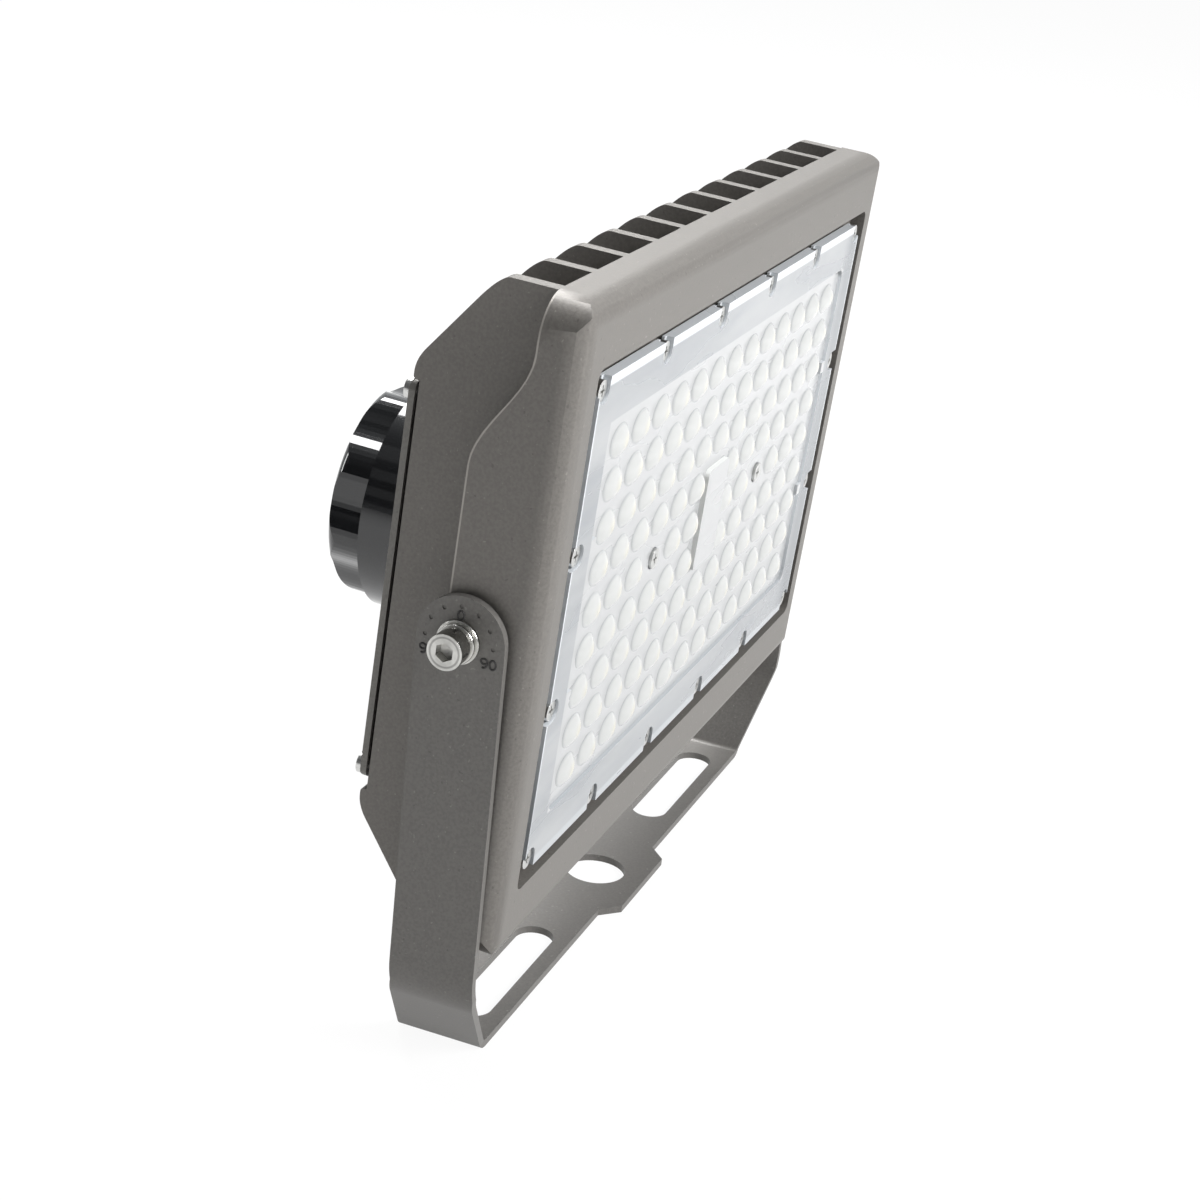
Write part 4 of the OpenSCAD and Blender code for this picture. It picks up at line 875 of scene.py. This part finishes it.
def dress(paint: Paint, *nodes: str, edge: float = 0.0, steps: int = 2) -> None:
    """Gives CAD nodes a finish and rounds their sharp edges.

    Args:
        paint: the finish.
        nodes: the nodes' names.
        edge: width of a rounded edge, in metres; zero leaves the edges sharp.
        steps: faces across a rounded edge.
    """
    material = paint.value.material()
    for node in nodes:
        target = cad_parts[node]
        if not target.material_slots:
            target.data.materials.append(material)
        for slot in target.material_slots:
            slot.link = "OBJECT"
            slot.material = material
        if edge:
            round_edges(target, edge, steps)
        LOG.info("dressed %s as %s", node, material.name)


def round_edges(target: bpy.types.Object, edge: float, steps: int) -> None:
    """Rounds an object's sharp edges with modifiers.

    Args:
        target: the object.
        edge: width of a rounded edge, in metres.
        steps: faces across a rounded edge.
    """
    weld = target.modifiers.new("weld", "WELD")
    weld.merge_threshold = WELD_GAP
    bevel = target.modifiers.new("edge", "BEVEL")
    bevel.width = edge
    bevel.segments = steps
    bevel.limit_method = "ANGLE"
    bevel.angle_limit = SHARP_ANGLE
    bevel.use_clamp_overlap = True
    bevel.harden_normals = False
    shading = target.modifiers.new("shading", "WEIGHTED_NORMAL")
    shading.keep_sharp = False
    shading.weight = FACE_WEIGHT


def new_piece(name: str, mesh: bpy.types.Mesh, paint: Paint, body: str) -> bpy.types.Object:
    """Adds a piece that rides on a body.

    Args:
        name: the piece's name.
        mesh: its mesh, in the frame's axes.
        paint: its finish.
        body: the body that it moves with.

    Returns:
        The piece.
    """
    piece = bpy.data.objects.new(name, mesh)
    bpy.context.scene.collection.objects.link(piece)
    piece.data.materials.append(paint.value.material())
    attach(piece, body)
    LOG.info("built %s with %d faces", name, len(mesh.polygons))
    return piece


def mesh_from(name: str, work: bmesh.types.BMesh, turn: Optional[Matrix] = None) -> bpy.types.Mesh:
    """Ends a bmesh as a smooth mesh.

    Args:
        name: the mesh's name.
        work: the bmesh, which is freed.
        turn: moves it into place first.

    Returns:
        The mesh.
    """
    if turn is not None:
        work.transform(turn)
    bmesh.ops.recalc_face_normals(work, faces=work.faces)
    mesh = bpy.data.meshes.new(name)
    work.to_mesh(mesh)
    work.free()
    mesh.polygons.foreach_set("use_smooth", [True] * len(mesh.polygons))
    return mesh


class Part:
    """Something that the scene is built from."""

    def build(self) -> None:
        """Adds its objects, or dresses its CAD nodes."""
        raise NotImplementedError


@dataclass(frozen=True)
class CastHead(Part):
    """The finned casting with its rear cover."""

    edge: float = 0.7 * MM
    cover_edge: float = 0.35 * MM

    def build(self) -> None:
        """Dresses the casting, its cover and its screws."""
        dress(Paint.HOUSING, "housing", edge=self.edge, steps=FINE_STEPS)
        dress(Paint.COVER, "rear_cover", edge=self.cover_edge)
        dress(Paint.SEAL, "rear_cover_gasket")
        dress(Paint.STEEL, "rear_cover_screws", edge=SCREW_EDGE)


@dataclass(frozen=True)
class LensPanel(Part):
    """The moulded panel with its lenslets, screws and what lies under it."""

    edge: float = 0.35 * MM
    board_screw_edge: float = 0.2 * MM
    rings: int = 7
    spokes: int = 28
    proud: float = 0.05 * MM
    fillet: float = 0.35 * MM

    def build(self) -> None:
        """Dresses the panel and what is near it, and builds the lenslets."""
        dress(Paint.LENS, "lens_panel", edge=self.edge, steps=FINE_STEPS)
        dress(Paint.STEEL, "lens_screws", "lens_centre_screws", edge=SCREW_EDGE)
        dress(Paint.STEEL, "board_screws", edge=self.board_screw_edge)
        dress(Paint.SEAL, "lens_gasket")
        dress(Paint.WHITE_BOARD, "led_board")
        dress(Paint.CHIP, "led_chips")
        dress(Paint.CREAM, "board_connector")
        dress(Paint.PAD, "thermal_pad")
        piece = new_piece("lenslets", self.lenslet_mesh(), Paint.LENSLET, "head")

    def lenslet_mesh(self) -> bpy.types.Mesh:
        """Mesh of all the lenslets.

        Returns:
            Oval domes that lie a hair over the CAD panel's own, with a soft foot.
        """
        work = bmesh.new()
        ball = LENS.ball_r + self.proud
        middle = LENS.field_y - LENS.dome_h + LENS.ball_r
        steepest = math.asin(LENS.foot_z / ball)
        slopes = [steepest * i / self.rings for i in range(1, self.rings + 1)]
        profile = [(ball * math.sin(slope), middle - ball * math.cos(slope)) for slope in slopes]
        profile.append((LENS.foot_z + self.fillet, LENS.field_y - self.proud))
        for x, z in LENS.places():
            self.add_dome(work, (x, middle - ball, z), profile)
        return mesh_from("lenslets", work, HEAD.matrix())

    def add_dome(self, work: bmesh.types.BMesh, top: Triple, profile: Sequence[Pair]) -> None:
        """Adds one lenslet.

        Args:
            work: the bmesh.
            top: the lenslet's highest point, in the head's axes.
            profile: radius and depth of each ring, from the top down.
        """
        x, _, z = top
        peak = work.verts.new(top)
        inner = None
        for radius, depth in profile:
            wide = radius * LENS.stretch
            ring = [work.verts.new((x + wide * math.cos(t), depth, z + radius * math.sin(t)))
                    for t in turns(self.spokes)]
            for k in range(self.spokes):
                after = (k + 1) % self.spokes
                if inner is None:
                    work.faces.new((peak, ring[k], ring[after]))
                else:
                    work.faces.new((inner[k], ring[k], ring[after], inner[after]))
            inner = ring


@dataclass(frozen=True)
class Bracket(Part):
    """The bent sheet bracket with the figures of its tilt dial."""

    edge: float = 0.45 * MM
    arm_x: float = 183 * MM
    stroke_r: float = 0.4 * MM
    figure_h: float = 3.4 * MM
    figure_w: float = 2.3 * MM
    figure_gap: float = 0.9 * MM
    top_rise: float = 9.4 * MM
    side_out: float = 11.4 * MM
    side_drop: float = 5.6 * MM
    zero_points: int = 24
    bowl_points: int = 20
    bowl_share: float = 0.58
    tail_steps: int = 10
    tail_start: float = -5
    tail_turn: float = 115

    def build(self) -> None:
        """Dresses the bracket and sets the figures on both arms."""
        dress(Paint.BRACKET, "bracket", edge=self.edge, steps=FINE_STEPS)
        for side, name in ((-1, "left"), (1, "right")):
            piece = new_piece(f"dial_figures_{name}", self.figure_mesh(side), Paint.MARK, "bracket")

    def figure_mesh(self, side: int) -> bpy.types.Mesh:
        """Mesh of the figures 0, 90 and 90 round one pivot.

        Args:
            side: -1 for the left arm, 1 for the right arm.

        Returns:
            Thin round strokes, half sunk in the arm's outer face.
        """
        work = bmesh.new()
        pitch = (self.figure_w + self.figure_gap) / 2
        spots = [("0", 0.0, self.top_rise)]
        for way in (-1, 1):
            spots += [("9", way * self.side_out - pitch, -self.side_drop),
                      ("0", way * self.side_out + pitch, -self.side_drop)]
        for figure, right, up in spots:
            for line, closed in self.strokes(figure):
                path = [self.on_arm(side, right + u, up + v) for u, v in line]
                sweep(work, path, self.stroke_r, closed)
        return mesh_from("dial_figures", work)

    def on_arm(self, side: int, right: float, up: float) -> Vector:
        """A point of an arm's outer face, by its distances from the pivot as seen from outside."""
        return Vector((side * self.arm_x, HEAD.pivot[1] + side * right, HEAD.pivot[2] + up))

    def strokes(self, figure: str) -> List[Tuple[List[Pair], bool]]:
        """Centre lines of a figure.

        Args:
            figure: "0" or "9".

        Returns:
            Lines of points across and up, each with True if it is closed.
        """
        half_w, half_h = self.figure_w / 2, self.figure_h / 2
        if figure == "0":
            return [([(half_w * math.cos(t), half_h * math.sin(t)) for t in turns(self.zero_points)], True)]
        bowl_h = half_h * self.bowl_share
        bowl_z = half_h - bowl_h
        bowl = [(half_w * math.cos(t), bowl_z + bowl_h * math.sin(t)) for t in turns(self.bowl_points)]
        sweep_back = [math.radians(self.tail_start - self.tail_turn * k / self.tail_steps)
                      for k in range(self.tail_steps + 1)]
        tail = [(half_w * math.cos(t), bowl_z + (half_h + bowl_z) * math.sin(t)) for t in sweep_back]
        return [(bowl, True), (tail, False)]


def sweep(work: bmesh.types.BMesh, path: Sequence[Vector], radius: float, closed: bool,
          sides: int = 8) -> None:
    """Adds a thin tube along a path that lies across X.

    Args:
        work: the bmesh.
        path: the tube's centre line.
        radius: the tube's radius.
        closed: True joins the last point to the first.
        sides: faces round the tube.
    """
    count = len(path)
    along_x = Vector(X_AXIS)
    rings = []
    for i, spot in enumerate(path):
        before = path[i - 1] if closed or i else path[i]
        after = path[(i + 1) % count] if closed or i < count - 1 else path[i]
        out = (after - before).normalized().cross(along_x)
        rings.append([work.verts.new(spot + radius * (out * math.cos(t) + along_x * math.sin(t)))
                      for t in turns(sides)])
    for i in range(count if closed else count - 1):
        ring, following = rings[i], rings[(i + 1) % count]
        for k in range(sides):
            near = (k + 1) % sides
            work.faces.new((ring[k], ring[near], following[near], following[k]))
    if not closed:
        work.faces.new(rings[0])
        work.faces.new(rings[-1])


@dataclass(frozen=True)
class Pivots(Part):
    """The pivot bolts with their washers and spacers."""

    bolt_edge: float = 0.4 * MM
    washer_edge: float = 0.3 * MM

    def build(self) -> None:
        """Dresses the pivots."""
        dress(Paint.BOLT, "pivot_bolts", edge=self.bolt_edge, steps=FINE_STEPS)
        dress(Paint.BOLT, "pivot_spring_washers", "pivot_flat_washers", edge=self.washer_edge)
        dress(Paint.WHITE_PLASTIC, "pivot_spacers", edge=self.washer_edge)


class ControlCap(Part):
    """The control socket with its twist-lock cap."""

    def build(self) -> None:
        """Dresses the socket and the cap."""
        dress(Paint.BLACK_GLOSS, "socket_body")
        dress(Paint.CAP_GLOSS, "control_cap")
        dress(Paint.BLACK_MATTE, "cap_base")
        dress(Paint.SEAL, "socket_gasket", "cap_gasket")
        dress(Paint.BRASS, "socket_contacts", "cap_blades", "cap_link")
        dress(Paint.STEEL, "socket_screws")


@dataclass(frozen=True)
class CableEntry(Part):
    """The cable gland and the breathing plug on the rear cover."""

    edge: float = 0.5 * MM

    def build(self) -> None:
        """Dresses the gland and the plug."""
        dress(Paint.BLACK_MATTE, "cable_gland_body", "cable_gland_nut", "cable_gland_locknut", "vent_plug",
              edge=self.edge, steps=FINE_STEPS)
        dress(Paint.SEAL, "cable_gland_seal", "cable_gland_insert", "vent_seal")
        dress(Paint.STEEL, "vent_nut", edge=SCREW_EDGE)


class DriverBay(Part):
    """What lies inside the driver bay."""

    def build(self) -> None:
        """Dresses each piece in the bay."""
        dress(Paint.SHEET, "driver_case", "driver_lid")
        dress(Paint.GREEN_BOARD, "driver_board")
        dress(Paint.WINDING, "driver_transformer")
        dress(Paint.BLACK_GLOSS, "driver_capacitors")
        dress(Paint.STEEL, "driver_screws")
        dress(Paint.CREAM, "terminal_block")
        dress(Paint.BRASS, "terminal_screws", "earth_screw")
        dress(Paint.BLUE, "surge_protector")
        dress(Paint.SEAL, "lead_grommet")
        dress(Paint.RED_WIRE, "led_leads")
        dress(Paint.GREY_WIRE, "surge_wires", "socket_wires")
        dress(Paint.BROWN_WIRE, "mains_wires")
        dress(Paint.GREEN_WIRE, "earth_wire")


@dataclass(frozen=True)
class Camera(Part):
    """The photograph's camera."""

    eye: Triple = (-0.8575, -0.2876, 0.4826)
    right: Triple = (0.3658, -0.9249, 0.1039)
    up: Triple = (0.3064, 0.2252, 0.9249)
    lens_mm: float = 70.63
    film_mm: float = 36.0
    sight: float = 50.0

    def build(self) -> None:
        """Places the camera."""
        data = bpy.data.cameras.new("photo_camera")
        data.lens = self.lens_mm
        data.sensor_width = self.film_mm
        data.clip_end = self.sight
        right, up = Vector(self.right), Vector(self.up)
        turn = Matrix((right, up, right.cross(up))).transposed().to_4x4()
        camera = bpy.data.objects.new("photo_camera", data)
        camera.matrix_world = Matrix.Translation(Vector(self.eye)) @ turn
        bpy.context.scene.collection.objects.link(camera)
        bpy.context.scene.camera = camera


@dataclass(frozen=True)
class Lamp(Part):
    """A soft rectangular lamp that points at the object. Its power is in watts."""

    name: str
    spot: Triple
    size: Pair
    power: float
    look_at: Triple = (0.0, 0.0, 0.17)

    def build(self) -> None:
        """Adds the lamp."""
        data = bpy.data.lights.new(self.name, "AREA")
        data.shape = "RECTANGLE"
        data.size, data.size_y = self.size
        data.energy = self.power
        lamp = bpy.data.objects.new(self.name, data)
        away = Vector(self.spot) - Vector(self.look_at)
        turn = away.to_track_quat("Z", "Y").to_matrix().to_4x4()
        lamp.matrix_world = Matrix.Translation(Vector(self.spot)) @ turn
        bpy.context.scene.collection.objects.link(lamp)


@dataclass(frozen=True)
class Floor(Part):
    """A pale floor: white to the camera with a soft shadow, and clear to a camera below it."""

    radius: float = 9.0
    sides: int = 96
    matt: Triple = (0.6, 0.6, 0.6)
    glow: Triple = (1, 1, 1)
    glow_level: float = 1.03
    camera_share: float = 0.91
    glossy_share: float = 0.3
    near_share: float = 0.65
    near_span: Span = (0.85, 0.3)

    def build(self) -> None:
        """Adds the floor as a piece of the stage."""
        work = bmesh.new()
        bmesh.ops.create_circle(work, cap_ends=True, segments=self.sides, radius=self.radius)
        piece = bpy.data.objects.new("floor", mesh_from("floor", work))
        bpy.context.scene.collection.objects.link(piece)
        material = bpy.data.materials.new("pale_floor")
        material.use_nodes = True
        self.paint(Graph(material.node_tree))
        piece.data.materials.append(material)

    def paint(self, graph: Graph) -> None:
        """Part matt and part glowing, by the kind of ray and the distance from the light."""
        to_camera = graph.node("ShaderNodeLightPath", output="Is Camera Ray")
        glossy = graph.node("ShaderNodeLightPath", output="Is Glossy Ray")
        matt = graph.node("ShaderNodeBsdfDiffuse", {"Color": self.matt})
        white = graph.node("ShaderNodeEmission", {"Color": self.glow, "Strength": self.glow_level})
        near = graph.place().stretched((1, 1, 0)).length().between(*self.near_span)
        in_gloss = glossy * (self.glossy_share + near * self.near_share)
        lit = graph.blend((to_camera * self.camera_share).largest(in_gloss), matt, white)
        from_below = graph.node("ShaderNodeNewGeometry", output="Backfacing") * to_camera
        clear = graph.node("ShaderNodeBsdfTransparent")
        graph.finish("ShaderNodeOutputMaterial", graph.blend(from_below, lit, clear))


@dataclass(frozen=True)
class Room(Part):
    """Surroundings: white to the camera, and to all else dim with a bright far side, ceiling and panes."""

    tint: Triple = (0.97, 0.985, 1.0)
    backdrop: Triple = (1, 1, 1)
    dim_level: float = 0.04
    far_way: Triple = (0.944, 0.330, 0.0)
    far_span: Span = (-0.25, 0.7)
    far_level: float = 0.75
    ceiling_span: Span = (0.55, 0.85)
    ceiling_level: float = 0.08
    pane_way: Triple = (-1, 0, 0)
    pane_step: float = 0.26
    pane_span: Span = (0.075, 0.06)
    pane_side_span: Span = (0.1, 0.3)
    pane_level: float = 0.14

    def build(self) -> None:
        """Sets the scene's world."""
        world = bpy.data.worlds.new("studio")
        world.use_nodes = True
        bpy.context.scene.world = world
        graph = Graph(world.node_tree)
        way = graph.node("ShaderNodeTexCoord", output="Generated")
        far_side = way.along(self.far_way).between(*self.far_span)
        ceiling = way.along(Z_AXIS).between(*self.ceiling_span)
        panes = abs(way.along(Z_AXIS).nearest(self.pane_step)).between(*self.pane_span)
        panes = panes * way.along(self.pane_way).between(*self.pane_side_span)
        level = self.dim_level + far_side * self.far_level + ceiling * self.ceiling_level
        level = level + panes * self.pane_level
        room = graph.node("ShaderNodeBackground", {"Color": self.tint, "Strength": level})
        white = graph.node("ShaderNodeBackground", {"Color": self.backdrop, "Strength": 1.0})
        to_camera = graph.node("ShaderNodeLightPath", output="Is Camera Ray")
        graph.finish("ShaderNodeOutputWorld", graph.blend(to_camera, room, white))


STUDIO = (
    Camera(),
    Floor(),
    Room(),
    Lamp("key", (-0.1, -2.4, 1.7), (1.6, 1.2), 142.0),
    Lamp("top", (1.1, 0.75, 2.2), (1.6, 1.2), 88.0),
    Lamp("rim", (-0.5, 2.3, 0.9), (0.4, 1.2), 10.0),
)
FLOOD_LIGHT = (CastHead(), LensPanel(), Bracket(), Pivots(), ControlCap(), CableEntry(), DriverBay())


def main() -> None:
    """Builds the studio and each sub-assembly."""
    logging.basicConfig(level=logging.INFO, format="%(name)s: %(message)s")
    bpy.context.scene.view_settings.view_transform = "Standard"
    for part in STUDIO + FLOOD_LIGHT:
        LOG.info("building %s", type(part).__name__)
        part.build()


if __name__ == "__main__":
    main()
